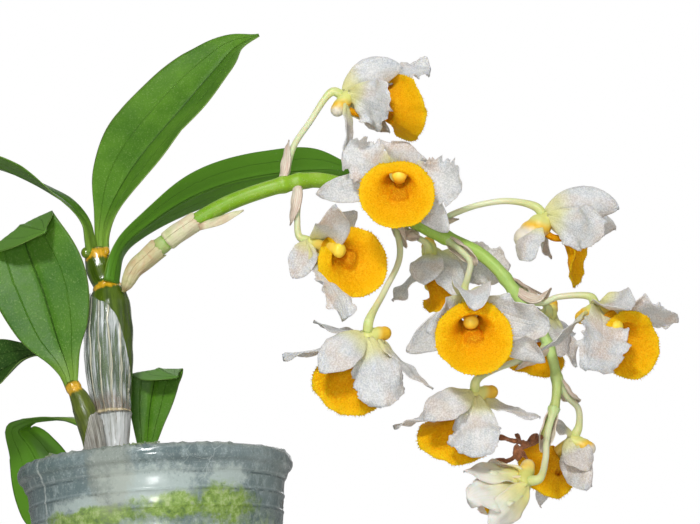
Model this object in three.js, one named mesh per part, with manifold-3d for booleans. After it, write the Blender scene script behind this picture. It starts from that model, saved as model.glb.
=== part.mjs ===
// A potted dendrobium orchid in bloom: a clear pot of bark, two pseudobulbs with
// their dry sheaths and leaves, and a hanging raceme of twelve blooms.
// Millimetres, +Z up. The origin is the middle of the pot's flat base.
import * as THREE from 'three';
import { mergeVertices } from 'three/addons/utils/BufferGeometryUtils.js';
import Module from 'manifold-3d';

const wasm = await Module();
wasm.setup();

// ---------------------------------------------------------------- dimensions
const SEAT_GAP = 0.32; // between a piece and what carries it

const POT_HEIGHT = 98;
const RIM_RADIUS = 50;
const POT_BASE_RADIUS = 37;
const POT_WALL = 1.2;
const RIM_BAND_HEIGHT = 9.5;
const GROOVE_HEIGHTS = [77, 82.8];
const DRAIN_HOLES = 5;
const DRAIN_HOLE_RADIUS = 3.2;
const DRAIN_CIRCLE_RADIUS = 22;

const BARK_TOP = 80;
const BARK_BUMP = 1.6;

const BULB_RIBS = 8;
const SHEATH_THICKNESS = 0.6;
const LEAF_THICKNESS = 0.9;
const PETIOLE_THICKNESS = 2.6;
const TEPAL_THICKNESS = 0.65;
const LIP_THICKNESS = 0.8;

const LIP_THROAT_RADIUS = 3.6;
const LIP_THROAT_PLACE = 7.5; // along the column
const LIP_SEGMENTS = 10; // round the throat
const COLUMN_LENGTH = 14.5;
const HUB_REACH = 2.9;
const PEDICEL_RADIUS = 1.15;
const SMALLEST_DETAIL = 0.1;

// ------------------------------------------------------------------- helpers
const RAD = Math.PI / 180;
const vec = (xyz) => new THREE.Vector3(...xyz);
const mix = (a, b, t) => a + (b - a) * t;

function solidFrom(points, triangles) {
  const mesh = new wasm.Mesh({
    numProp: 3,
    vertProperties: Float32Array.from(points.flatMap((p) => [p.x, p.y, p.z])),
    triVerts: Uint32Array.from(triangles.flat()),
  });
  return new wasm.Manifold(mesh);
}

function solidOf(geometry) {
  const bare = geometry.index ? geometry.clone() : geometry;
  bare.deleteAttribute('normal');
  bare.deleteAttribute('uv');
  const merged = mergeVertices(bare, 1e-4);
  const mesh = new wasm.Mesh({
    numProp: 3,
    vertProperties: Float32Array.from(merged.attributes.position.array),
    triVerts: Uint32Array.from(merged.index.array),
  });
  return new wasm.Manifold(mesh);
}

// The union of the pieces, with sealed pockets filled and loose scraps dropped.
function fuse(pieces) {
  const union = pieces.reduce((whole, piece) => whole.add(piece));
  return largestBody(union);
}

function largestBody(solid) {
  const bodies = solid.simplify(SMALLEST_DETAIL).decompose();
  return bodies.reduce((best, body) => (body.volume() > best.volume() ? body : best));
}

function geometryOf(solid) {
  const mesh = solid.getMesh();
  const geometry = new THREE.BufferGeometry();
  geometry.setAttribute('position', new THREE.BufferAttribute(mesh.vertProperties, 3));
  geometry.setIndex(new THREE.BufferAttribute(mesh.triVerts, 1));
  return geometry;
}

// A smooth value through evenly spaced stations.
function profile(stations, t) {
  const curve = new THREE.SplineCurve(stations.map((value, i) => new THREE.Vector2(i, value)));
  return curve.getPoint(t).y;
}

function guideAt(guides, t) {
  const place = t * (guides.length - 1);
  const i = Math.min(Math.floor(place), guides.length - 2);
  return vec(guides[i]).lerp(vec(guides[i + 1]), place - i).normalize();
}

// A closed round-section rod along a curve. radiusAt(t, angle) gives the radius.
function rod(points, radiusAt, rings, sides) {
  const curve = new THREE.CatmullRomCurve3(points.map((p) => (p.isVector3 ? p : vec(p))));
  const frames = curve.computeFrenetFrames(rings, false);
  const skin = [];
  for (let i = 0; i <= rings; i++) {
    const centre = curve.getPointAt(i / rings);
    for (let j = 0; j < sides; j++) {
      const angle = (j / sides) * 2 * Math.PI;
      const radius = radiusAt(i / rings, angle);
      const point = centre.clone();
      point.addScaledVector(frames.normals[i], radius * Math.cos(angle));
      point.addScaledVector(frames.binormals[i], radius * Math.sin(angle));
      skin.push(point);
    }
  }
  const triangles = [];
  for (let i = 0; i < rings; i++) {
    for (let j = 0; j < sides; j++) {
      const a = i * sides + j;
      const b = i * sides + ((j + 1) % sides);
      triangles.push([a, b, b + sides], [a, b + sides, a + sides]);
    }
  }
  const last = rings * sides;
  for (let j = 1; j < sides - 1; j++) {
    triangles.push([0, j + 1, j], [last, last + j, last + j + 1]);
  }
  return solidFrom(skin, triangles);
}

function ball(centre, radii, detail) {
  const sphere = new THREE.SphereGeometry(1, detail, Math.max(4, detail - 2));
  sphere.scale(...radii);
  sphere.translate(...centre);
  return solidOf(sphere);
}

// The two faces of a thin blade round surface(t, s), with t from base to tip and s from
// -1 to 1 across, as rows of points.
function bladeFaces(surface, along, across, columns, thicknessAt) {
  const step = 1e-3;
  const front = [];
  const back = [];
  for (let i = 0; i <= along; i++) {
    for (let j = 0; j < columns; j++) {
      const t = i / along;
      const s = (2 * j) / across - 1;
      const middle = surface(t, s);
      const lengthways = surface(Math.min(t + step, 1), s).sub(surface(Math.max(t - step, 0), s));
      const sideways = surface(t, Math.min(s + step, 1)).sub(surface(t, Math.max(s - step, -1)));
      const normal = sideways.cross(lengthways).normalize();
      const half = thicknessAt(t, s) / 2;
      front.push(middle.clone().addScaledVector(normal, half));
      back.push(middle.clone().addScaledVector(normal, -half));
    }
  }
  return [front, back];
}

// A closed thin blade. Both faces are split into the same triangles.
function blade(surface, along, across, thicknessAt) {
  const row = across + 1;
  const [front, back] = bladeFaces(surface, along, across, row, thicknessAt);
  const count = front.length;
  const triangles = [];
  for (let i = 0; i < along; i++) {
    for (let j = 0; j < across; j++) {
      const a = i * row + j;
      const cells = j < across / 2
        ? [[a, a + 1, a + row], [a + 1, a + row + 1, a + row]]
        : [[a, a + 1, a + row + 1], [a, a + row + 1, a + row]];
      for (const [p, q, r] of cells) {
        triangles.push([p, q, r], [p + count, r + count, q + count]);
      }
    }
  }
  const edge = [];
  for (let j = 0; j < across; j++) edge.push(j);
  for (let i = 0; i < along; i++) edge.push(i * row + across);
  for (let j = across; j > 0; j--) edge.push(along * row + j);
  for (let i = along; i > 0; i--) edge.push(i * row);
  edge.forEach((a, k) => {
    const b = edge[(k + 1) % edge.length];
    triangles.push([a, a + count, b + count], [a, b + count, b]);
  });
  return solidFrom([...front, ...back], triangles);
}

// A blade whose sides meet, so that it runs round as a ring.
function ringBlade(surface, along, around, thickness) {
  const [front, back] = bladeFaces(surface, along, around, around, () => thickness);
  const count = front.length;
  const last = along * around;
  const triangles = [];
  for (let j = 0; j < around; j++) {
    const next = (j + 1) % around;
    for (let i = 0; i < last; i += around) {
      const [a, b] = [i + j, i + next];
      for (const [p, q, r] of [[a, b, a + around], [b, b + around, a + around]]) {
        triangles.push([p, q, r], [p + count, r + count, q + count]);
      }
    }
    triangles.push([j, j + count, next + count], [j, next + count, next]);
    const [a, b] = [last + j, last + next];
    triangles.push([a, b + count, a + count], [a, b, b + count]);
  }
  return solidFrom([...front, ...back], triangles);
}

// ----------------------------------------------------------------- materials
function finish(colour, roughness, extra = {}) {
  return new THREE.MeshStandardMaterial({ color: colour, roughness, metalness: 0, ...extra });
}

const FINISHES = {
  clearPlastic: finish(0x9fb0b4, 0.35, { transparent: true, opacity: 0.6 }),
  bark: finish(0x6b6a3c, 0.95),
  bulb: finish(0x5c6f1e, 0.35),
  drySheath: finish(0xc9c9c0, 0.4, { transparent: true, opacity: 0.6 }),
  leaf: finish(0x3f7a2c, 0.45),
  stem: finish(0x8cb83c, 0.5),
  petal: finish(0xe6e7ea, 0.6),
  lip: finish(0xf5a800, 0.7),
  witheredBud: finish(0x7d4a22, 0.8),
};

const plant = new THREE.Group();

function addPiece(name, solid, material) {
  const mesh = new THREE.Mesh(geometryOf(solid), material);
  mesh.name = name;
  plant.add(mesh);
}

// ------------------------------------------------------------------- the pot
const slope = (RIM_RADIUS - 2.6 - POT_BASE_RADIUS) / POT_HEIGHT;
const potRadius = (z) => POT_BASE_RADIUS + slope * z;

function latheSolid(outline, segments) {
  const geometry = new THREE.LatheGeometry(outline.map(([r, z]) => new THREE.Vector2(r, z)), segments);
  geometry.rotateX(Math.PI / 2);
  return solidOf(geometry);
}

function makePot() {
  const bandFoot = POT_HEIGHT - RIM_BAND_HEIGHT;
  const outline = [[0, 0], [potRadius(0) - 0.6, 0], [potRadius(0), 0.8]];
  for (const z of GROOVE_HEIGHTS) {
    outline.push([potRadius(z - 1), z - 1], [potRadius(z) + 0.55, z], [potRadius(z + 0.4), z + 0.4]);
  }
  outline.push([potRadius(bandFoot), bandFoot], [potRadius(bandFoot) + 0.9, bandFoot + 0.7]);
  outline.push([RIM_RADIUS - 1.9, POT_HEIGHT - 6.2], [RIM_RADIUS - 0.5, POT_HEIGHT - 5.2]);
  outline.push([RIM_RADIUS, POT_HEIGHT - 3.2], [RIM_RADIUS - 0.5, POT_HEIGHT - 1]);
  outline.push([RIM_RADIUS - 1.9, POT_HEIGHT], [RIM_RADIUS - 3.4, POT_HEIGHT - 0.4]);
  outline.push([potRadius(bandFoot) - POT_WALL, bandFoot - 1]);
  outline.push([potRadius(POT_WALL) - POT_WALL, POT_WALL + 0.4]);
  outline.push([0, POT_WALL + 0.4]);
  let pot = latheSolid(outline, 20);
  for (let i = 0; i < DRAIN_HOLES; i++) {
    const angle = ((i + 0.5) / DRAIN_HOLES) * 2 * Math.PI;
    const hole = new THREE.CylinderGeometry(DRAIN_HOLE_RADIUS, DRAIN_HOLE_RADIUS, 8, 8);
    hole.rotateX(Math.PI / 2);
    hole.translate(DRAIN_CIRCLE_RADIUS * Math.cos(angle), DRAIN_CIRCLE_RADIUS * Math.sin(angle), 0);
    pot = pot.subtract(solidOf(hole));
  }
  return pot;
}

// --------------------------------------------------------------- pseudobulbs
const MAIN_BULB = {
  axis: [[-13.4, 0, 76], [-14, 0, 90], [-14.6, 0, 104.8], [-14.9, 0, 116], [-15.7, 0, 134],
    [-15.5, 0, 145], [-15, 0, 160], [-15.2, 0, 165.4], [-17.1, 0, 173], [-19.1, 0, 180.6]],
  // height along the axis (0 to 1) and radius there
  radii: [[0, 3.4], [0.15, 4], [0.28, 4.9], [0.372, 6.2], [0.384, 6.7], [0.397, 6.3], [0.48, 7.6],
    [0.6, 8.7], [0.7, 8.6], [0.79, 7.5], [0.832, 6.1], [0.846, 5], [0.862, 5.1], [0.872, 4.3],
    [0.92, 4.8], [0.96, 4.5], [0.975, 4.6], [0.992, 4.4], [1, 3.2]],
  from: 0,
};

const SMALL_BULB = {
  axis: [[-19.5, -7, 76], [-20.4, -8, 92], [-21.3, -8, 104.1], [-22.5, -8, 110.4], [-23.8, -8, 116],
    [-25.8, -8, 121.7], [-28.2, -8, 126.8], [-29, -8, 128.6]],
  radii: [[0, 2.8], [0.3, 3.2], [0.5, 3.6], [0.7, 4.1], [0.8, 4.1], [0.88, 3.4], [0.93, 2.6],
    [0.95, 2.9], [0.985, 2.7], [1, 1.9]],
};

function radiusBetween(radii, t) {
  const i = Math.max(1, radii.findIndex(([place]) => place >= t));
  const [t0, r0] = radii[i - 1];
  const [t1, r1] = radii[i];
  return mix(r0, r1, (t - t0) / (t1 - t0));
}

// The point of a bulb's skin, lifted by offset. The seam faces away from the camera side.
function bulbSkin(bulb, t, angle, offset) {
  const curve = bulb.curve ?? (bulb.curve = new THREE.CatmullRomCurve3(bulb.axis.map(vec)));
  const tangent = curve.getTangentAt(t);
  const across = new THREE.Vector3(0, 1, 0).cross(tangent).normalize();
  const forward = tangent.clone().cross(across);
  const rib = 1 + 0.035 * Math.cos(BULB_RIBS * angle);
  const radius = radiusBetween(bulb.radii, t) * rib + offset;
  const point = curve.getPointAt(t);
  point.addScaledVector(across, radius * Math.cos(angle));
  point.addScaledVector(forward, radius * Math.sin(angle));
  return point;
}

function makeBulb(bulb, offset = 0) {
  const sides = 2 * BULB_RIBS;
  const skin = [];
  for (const [t] of bulb.radii) {
    for (let j = 0; j < sides; j++) {
      skin.push(bulbSkin(bulb, t, (j / sides) * 2 * Math.PI, offset));
    }
  }
  const rings = bulb.radii.length - 1;
  const triangles = [];
  for (let i = 0; i < rings; i++) {
    for (let j = 0; j < sides; j++) {
      const a = i * sides + j;
      const b = i * sides + ((j + 1) % sides);
      triangles.push([a, b, b + sides], [a, b + sides, a + sides]);
    }
  }
  const last = rings * sides;
  for (let j = 1; j < sides - 1; j++) {
    triangles.push([0, j + 1, j], [last, last + j, last + j + 1]);
  }
  return solidFrom(skin, triangles);
}

// A dry sheath that wraps part of a bulb, with a slanted upper edge.
function makeSheath(bulb, { foot, topLeft, topRight, fromAngle, toAngle }, along, across) {
  const offset = SEAT_GAP + SHEATH_THICKNESS / 2 + 0.45;
  const surface = (t, s) => {
    const round = (s + 1) / 2;
    const top = mix(topLeft, topRight, round ** 1.3);
    return bulbSkin(bulb, mix(foot, top, t), mix(fromAngle, toAngle, round) * RAD, offset);
  };
  return blade(surface, along, across, () => SHEATH_THICKNESS);
}

// -------------------------------------------------------------------- leaves
// rib: points along the midrib. face: directions that the upper face looks in, from base to
// tip. width: half widths from base to tip. fold: how far the edges rise, per half width.
const LEAVES = {
  leaf_top_left: {
    rib: [[-21, -2, 178.8], [-21.2, -4, 183], [-22, -7, 189], [-26.4, -10, 195.5], [-33.7, -14, 201.5],
      [-42.1, -18, 206.7], [-54, -23, 211.5], [-70, -28, 213], [-86, -32, 209]],
    face: [[0.8, -0.3, 0.5], [0.5, 0, 1], [0.3, 0, 1], [0.1, 0, 1], [0.2, 0, 1]],
    width: [2.6, 3.4, 6.5, 9.5, 10.5, 9.5, 6.5, 0.5],
    fold: 0.25,
  },
  leaf_top_upright: {
    rib: [[-17, 1.5, 178.8], [-17.2, 2.8, 185], [-15.6, 7, 196], [-9.2, 12, 211], [0.5, 16, 224.5],
      [16.6, 20, 241], [30, 22, 255], [39, 22, 265.5], [45.6, 20, 270.3]],
    face: [[-0.2, -1, 0.1], [-0.3, -0.9, 0.3], [-0.4, -0.84, 0.37], [-0.3, -0.84, 0.4], [-0.1, -0.8, 0.5]],
    width: [2.6, 4.5, 10, 14.5, 16, 15, 10.5, 0.5],
    fold: 0.5,
  },
  leaf_arching: {
    rib: [[-13.2, -4.5, 165.8], [-11.7, -3, 174.1], [-9.2, 3, 183], [-2, 12, 194.1], [8.9, 22, 206.1],
      [22.3, 32, 216.1], [36.1, 39, 222], [52.4, 44, 224.5], [66.7, 47, 224.8], [76.9, 48, 222]],
    face: [[-0.8, 0.6, 0.2], [-0.7, 0.5, 0.5], [-0.5, 0.6, 0.7], [-0.2, 0.7, 0.7], [0, 0.7, 0.7]],
    width: [2.8, 3.6, 7, 10.5, 12, 12, 9, 0.5],
    fold: 0.2,
  },
  leaf_broad: {
    rib: [[-28.8, -8.5, 126.4], [-30.6, -8.6, 134.7], [-34.5, -9, 148.3], [-37.6, -10, 163.5],
      [-40.8, -11.5, 177], [-43.6, -16, 184.5], [-48.2, -27, 183.5], [-57, -36, 177], [-67, -42, 168]],
    face: [[0, -1, 0.1], [0, -1, 0.1], [0.1, -1, 0.1], [0.1, -1, 0], [0, -0.6, -0.8], [0.2, 0.2, -1],
      [0, 0.5, -1]],
    width: [2.4, 5, 13, 17.5, 18.5, 17, 13, 7, 0.5],
    fold: 0.12,
  },
  leaf_dark: {
    rib: [[-30.2, -5, 127], [-34, 1, 134], [-41, 8, 142], [-50, 12, 147], [-61, 13, 145], [-74, 12, 137],
      [-84, 10, 128]],
    face: [[0, -1, 0.3], [0.2, -1, 0.3], [0.2, -1, 0.3], [0.1, -1, 0.4], [0, -1, 0.5]],
    width: [2.2, 3, 8.5, 11.5, 11, 8, 0.5],
    fold: 0.15,
  },
  leaf_hanging: {
    rib: [[-25.8, -7, 113.2], [-31, 0, 115], [-39.5, 12, 118.1], [-51, 26, 120.6], [-58.3, 34, 119.3],
      [-59.5, 40, 111], [-55.6, 43, 99], [-53, 43, 86], [-51, 42, 73], [-50, 40, 62]],
    face: [[0, 0, 1], [0, -0.1, 1], [0, -0.1, 1], [-0.5, 0.1, 1], [-0.5, 0.9, 0.2], [0, 1, 0], [0, 1, 0],
      [0, 1, 0]],
    width: [1.8, 2.2, 4, 7, 10.5, 12.5, 12.5, 10, 0.5],
    fold: 0.15,
  },
  leaf_short: {
    rib: [[-7, 21, 77], [-6.4, 21, 92], [-6, 20, 102], [-5.1, 19, 111.4], [-3.9, 18, 118.8], [-1.8, 16, 126],
      [1.2, 12, 131.8], [5.1, 5, 132.2], [7.8, 0, 127.4]],
    face: [[0, -1, 0], [0, -1, 0], [0, -1, 0.1], [0, -1, 0.1], [0, -1, 0], [0, -0.7, -0.7], [0.2, 0.1, -1]],
    width: [1.8, 2, 3.2, 7.5, 9.8, 9, 5, 0.5],
    fold: 0.15,
  },
};

function leafSurface(leaf) {
  const rib = new THREE.CatmullRomCurve3(leaf.rib.map(vec));
  return (t, s) => {
    const tangent = rib.getTangentAt(t);
    const side = tangent.clone().cross(guideAt(leaf.face, t)).normalize();
    const up = side.clone().cross(tangent);
    const half = profile(leaf.width, t);
    const wave = 0.35 * Math.sin(9 * t + 2 * s) * s * s;
    const point = rib.getPointAt(t);
    point.addScaledVector(side, s * half);
    point.addScaledVector(up, leaf.fold * half * Math.abs(s) ** 1.4 + wave);
    return point;
  };
}

function makeLeaf(leaf) {
  const thickness = (t) => mix(PETIOLE_THICKNESS, LEAF_THICKNESS, Math.min(1, t / 0.18));
  return blade(leafSurface(leaf), 8, 4, thickness);
}

// --------------------------------------------------------- raceme and blooms
// The peduncle leaves the upper yellow ring, arches over and hangs beyond the pot.
const RACHIS = [[-9.2, -4.5, 161.8], [-4.2, -6, 170], [0.6, -7, 173.7], [5.7, -8, 177.3], [12.8, -9, 181.9],
  [19.4, -10, 185.4], [31, -11, 190.9], [42.5, -12, 194.4], [55.8, -12, 197.3], [65.1, -10, 198.4],
  [74, -7, 197], [84, -3, 193.5], [96.3, 0, 186.4], [107, 2, 179], [116.3, 3, 174], [125.3, 3, 168.5],
  [132, 2, 160.7], [138.4, 1, 149.1], [143.6, 0, 139.5], [146.9, -1, 130.9], [148.7, -1, 119.4],
  [147.7, -1, 110.2], [144.8, -1, 103], [141, -1.5, 97]];

// radius of the stem against the share of its length
const RACHIS_RADII = [[0, 2.6], [0.03, 3.9], [0.1, 3.9], [0.105, 3.3], [0.135, 3.3], [0.14, 3.7], [0.2, 3.6],
  [0.205, 3.1], [0.4, 2.9], [0.6, 2.6], [0.8, 2.1], [0.93, 1.7], [1, 1.1]];

const rachis = new THREE.CatmullRomCurve3(RACHIS.map(vec));

// hub: where sepals and petals join. face: where the column points. up: away from the chin.
// leaves: share of the stem's length where its pedicel starts. via: the pedicel's way.
// dish: middle and facing of the lip's blade. tip: where a sepal or petal ends. Middles and tips
// are measured from the hub. bow: how far a blade's middle bulges to the bloom's inside.
// twist: its turn about its own length. cup: how far its edges rise, per half width.
const BLOOMS = [
  { hub: [79, -8, 231.2], face: [0.92, 0.3, -0.12], up: [0.12, 0.1, 0.98], leaves: 0.315,
    via: [[57.7, -12, 210.9], [64.3, -10, 221], [70.5, -9, 228.5]],
    dish: { middle: [21.9, 4, -4.7], face: [0.8, 0.45, 0.33], radius: 13.5 },
    dorsal: { tip: [22.1, -4, 8.5], half: 6.6, bow: -3, twist: 55, cup: 0.3 },
    left: { tip: [16.5, -14, -9.2], half: 10.5, bow: 2, cup: 0.1 },
    right: { tip: [34, 16, 16.3], half: 8.4, bow: -3, twist: 25, cup: -0.1 },
    lowLeft: { tip: [-3, -4, -28.8], half: 4.6, bow: 2, twist: 40, cup: 0.1 },
    lowRight: { tip: [16.3, 20, -8.5], half: 5, bow: 2, cup: 0.1 } },
  { hub: [95.7, -19, 196.3], face: [0.03, -0.97, -0.24], up: [0, -0.24, 0.97], leaves: 0.42,
    via: [[84, 1, 198], [87, 3, 206], [92, -2, 204]],
    dish: { middle: [-1.2, -15, -13.7], face: [0.02, -0.98, 0.2], radius: 13.5 },
    dorsal: { tip: [4.7, -7, 8.6], half: 8.5, bow: 2, cup: -0.2 },
    left: { tip: [-20.3, -6, 3.5], half: 8.4, bow: 2, cup: 0.1 },
    right: { tip: [23.2, -5, -11.8], half: 9.5, bow: 2, cup: 0.1 },
    lowLeft: { tip: [-30.4, 2, -5.6], half: 5.8, bow: 2, cup: 0.1 },
    lowRight: { tip: [17, 2, -23.8], half: 6, bow: 2, cup: 0.1 } },
  { hub: [62.4, -10, 174], face: [0.69, -0.62, -0.38], up: [-0.55, -0.78, 0.2], leaves: 0.34,
    via: [[58.4, -12, 190.5], [57.6, -11, 184], [58.6, -10, 178.5]],
    dish: { middle: [14.3, -2, -9.3], face: [0.22, -0.97, -0.1], radius: 13 },
    dorsal: { tip: [-7.5, -8, -14.9], half: 5.6, bow: 1, twist: 50, cup: 0.1 },
    left: { tip: [11, -8, -31.2], half: 8.2, bow: 1, cup: 0.1 },
    right: { tip: [10.1, -24, 6.9], half: 6.6, bow: 4, twist: -60, cup: 0.1 },
    lowLeft: { tip: [19, 18, -13.1], half: 5.5, bow: 1, cup: 0.1 },
    lowRight: { tip: [17.6, 4, 11.9], half: 6, bow: 1, cup: 0.1 } },
  { hub: [80.2, -18, 135.6], face: [-0.55, 0.45, -0.7], up: [-0.75, -0.6, 0.2], leaves: 0.5,
    via: [[94.8, -4, 168.5], [88.1, -9, 154.3], [83.8, -13.5, 142.5]],
    dish: { middle: [-8.8, 10, -14.7], face: [-0.15, 0.75, -0.62], radius: 13 },
    dorsal: { tip: [-17.6, -9, -13.6], half: 7.8, bow: -2, cup: 0.2 },
    left: { tip: [-31, 6, -4.2], half: 7, bow: 1, twist: 15, cup: 0.1 },
    right: { tip: [3.4, -6, -27.2], half: 10, bow: -1, twist: 45, cup: 0.15 },
    lowLeft: { tip: [-19.1, 12, 9.3], half: 5.6, bow: 1, cup: 0.1 },
    lowRight: { tip: [22.2, 0, -20.7], half: 5, bow: 1, cup: 0.1 } },
  { hub: [106.6, 8, 170.8], face: [0, 0.5, -0.85], up: [0, -0.85, -0.5], leaves: 0.51,
    via: [[98.8, 6, 180.5], [102, 8, 177.5]],
    dish: { middle: [6.5, 6, -16.7], face: [0, 0.6, -0.8], radius: 10 },
    dorsal: { tip: [-3.8, -14, -14.9], half: 7, bow: -2, cup: 0.1 },
    left: { tip: [-15.6, 6, -15.1], half: 6.5, bow: 1, cup: 0.1 },
    right: { tip: [31, 10, -4], half: 9, bow: 1, twist: 55, cup: 0.1 },
    lowLeft: { tip: [17.1, 18, 0.7], half: 6, bow: 1, cup: 0.1 },
    lowRight: { tip: [8.8, -8, -18.6], half: 7, bow: -2, cup: 0.1 } },
  { hub: [116.7, -20, 145.1], face: [0.03, -0.78, -0.62], up: [-0.07, -0.62, 0.78], leaves: 0.6,
    via: [[120.6, -4, 164.5], [119, -10, 157], [117.6, -16, 150]],
    dish: { middle: [0.7, -14, -16.7], face: [0.03, -0.98, 0.1], radius: 13.5 },
    dorsal: { tip: [-0.1, -17, -7.6], half: 7, bow: 0, cup: -0.95 },
    left: { tip: [-14.5, -13, -13.6], half: 7.5, bow: 2, cup: 0.1 },
    right: { tip: [28.5, -7, -12.6], half: 8.2, bow: 2, cup: 0.1 },
    lowLeft: { tip: [-22.6, 2, -16.4], half: 6.6, bow: 1, cup: 0.1 },
    lowRight: { tip: [26.6, 3, -23.5], half: 6.5, bow: 1, cup: 0.1 } },
  { hub: [149.2, 10, 143.4], face: [-0.3, 0.6, -0.75], up: [-0.2, -0.8, -0.55], leaves: 0.72,
    via: [[141.3, 8, 153.5], [146, 10.5, 151]],
    dish: { middle: [-6.3, 6, -11.4], face: [-0.2, 0.75, -0.6], radius: 12.5 },
    dorsal: { tip: [2, -8, -16.8], half: 7.5, bow: -1, cup: 0.2 },
    left: { tip: [-15.8, -5, -10.3], half: 7, bow: -1, cup: 0.2 },
    right: { tip: [8.2, -3, -20], half: 5.5, bow: -1, cup: 0.1 },
    lowLeft: { tip: [-0.8, 16, 7.3], half: 5.5, bow: 1, cup: 0.1 },
    lowRight: { tip: [10.6, 8, -5.2], half: 7, bow: 1, cup: 0.1 } },
  { chin: 1.6, hub: [150.5, -5, 178.5], face: [0.92, 0.02, -0.38], up: [0.38, -0.18, 0.91], leaves: 0.545,
    via: [[111, 4, 183], [117.1, 3, 185.2], [126.6, 0, 187], [137.8, -2, 187], [145.6, -4, 184.6]],
    dish: { middle: [10.6, 1, -15.3], face: [0.96, -0.1, -0.2], radius: 10.5 },
    dorsal: { tip: [26.4, -7, -0.5], half: 7, bow: -3.5, twist: 55, cup: 0.35 },
    left: { tip: [17.4, -17, -13.1], half: 8.8, bow: 2, cup: 0.1 },
    right: { tip: [28.5, 22, -0.6], half: 8, bow: 1, cup: 0.1 },
    lowLeft: { tip: [-8.6, -9, -18.4], half: 6.5, bow: -3, cup: 0.3 },
    lowRight: { tip: [2.1, 11, -12.8], half: 6, bow: -2, cup: 0.3 } },
  { hub: [165.7, -6, 142.4], face: [0.5, -0.6, -0.62], up: [0.6, -0.15, 0.75], leaves: 0.745,
    via: [[145, -1, 147], [152.9, -3, 148.4], [160.5, -5, 146.8]],
    dish: { middle: [9.3, -3, -15.3], face: [0.4, -0.9, -0.15], radius: 12.4 },
    dorsal: { tip: [9.5, -16, -5.9], half: 7, bow: 0, cup: -0.7 },
    left: { tip: [-7.5, -27, -27.5], half: 8.2, bow: 4, twist: 60, cup: 0.1 },
    right: { tip: [31, 10, -5.4], half: 8.2, bow: -2, cup: -0.1 },
    lowLeft: { tip: [-24.5, -7, -16.9], half: 4, bow: 1, twist: -30, cup: 0.1 },
    lowRight: { tip: [9.3, 10, -19], half: 6, bow: 1, cup: 0.1 } },
  { hub: [117, -14, 112], face: [-0.55, 0.45, -0.7], up: [-0.7, -0.62, 0.26], leaves: 0.85,
    via: [[141, -4, 126.4], [135.4, -6, 124.8], [125.7, -10, 121.5], [119.6, -13, 117.4]],
    dish: { middle: [-8.3, 10, -13.1], face: [-0.2, 0.75, -0.62], radius: 12.8 },
    dorsal: { tip: [-19, -10, -9.3], half: 7.4, bow: -2, cup: 0.2 },
    left: { tip: [-29.5, 5, -9], half: 7, bow: 1, twist: 20, cup: 0.1 },
    right: { tip: [-3.4, -11, -23.7], half: 9.8, bow: -1, twist: 45, cup: 0.15 },
    lowLeft: { tip: [-8.7, 14, 5.7], half: 5.5, bow: 1, cup: 0.1 },
    lowRight: { tip: [22.4, -4, -10.3], half: 6, bow: 1, cup: 0.1 } },
  { hub: [154.4, 15, 97.3], face: [-0.8, 0.35, -0.45], up: [-0.45, 0.1, 0.88], leaves: 0.9,
    via: [[152.6, 4, 112], [157, 10, 108], [158, 14, 102.5]],
    dish: { middle: [-12.4, 7, -7.6], face: [-0.6, 0.7, -0.35], radius: 12.2 },
    dorsal: { tip: [-8.4, -1, 6.5], half: 7, bow: -1, cup: 0.1 },
    left: { tip: [-2.8, -11, -22.4], half: 8.2, bow: 1, twist: 60, cup: 0.1 },
    right: { tip: [2.6, -9, -11.9], half: 6, bow: 1, twist: 60, cup: 0.1 },
    lowLeft: { tip: [-12.2, 21, -21.9], half: 6, bow: 3, twist: 60, cup: 0.1 },
    lowRight: { tip: [5.2, -1, -17.8], half: 4, bow: 1, twist: 40, cup: 0.1 } },
  { hub: [132.4, -12, 79.8], face: [-0.85, 0.3, -0.42], up: [0.14, -0.6, -0.72], leaves: 0.95,
    via: [[142.6, -4, 96], [141, -8, 88], [138, -11, 82.5]],
    dish: { middle: [-11.8, 6, -4.9], face: [-0.85, 0.3, -0.4], radius: 9 },
    dorsal: { tip: [-14.9, -5, -15.3], half: 6.5, bow: -2, cup: 0.2 },
    left: { tip: [-16.5, 14, -6.5], half: 8.2, bow: -2, cup: 0.2 },
    right: { tip: [-21.4, -7, -4.9], half: 8.4, bow: -2, cup: 0.2 },
    lowLeft: { tip: [-12.5, 10, 8], half: 6, bow: -1, cup: 0.2 },
    lowRight: { tip: [-21.5, -5, 4.9], half: 5.5, bow: -1, cup: 0.2 } },
];

// Where sepals and petals leave the hub, in the bloom's own frame, and how much their ends wave.
const TEPALS = {
  dorsal: { base: [0, 2, -0.6], ruffle: 0.5 },
  left: { base: [-2.2, 0.6, 0.2], ruffle: 1.4 },
  right: { base: [2.2, 0.6, 0.2], ruffle: 1.4 },
  lowLeft: { base: [-1.8, -3.4, -1.2], ruffle: 0.6 },
  lowRight: { base: [1.8, -3.4, -1.2], ruffle: 0.6 },
};

// A bloom's own axes: to its right, up and forward.
function bloomAxes(bloom) {
  const forward = vec(bloom.face).normalize();
  const up = vec(bloom.up);
  up.addScaledVector(forward, -up.dot(forward)).normalize();
  return [up.clone().cross(forward), up, forward];
}

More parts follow.
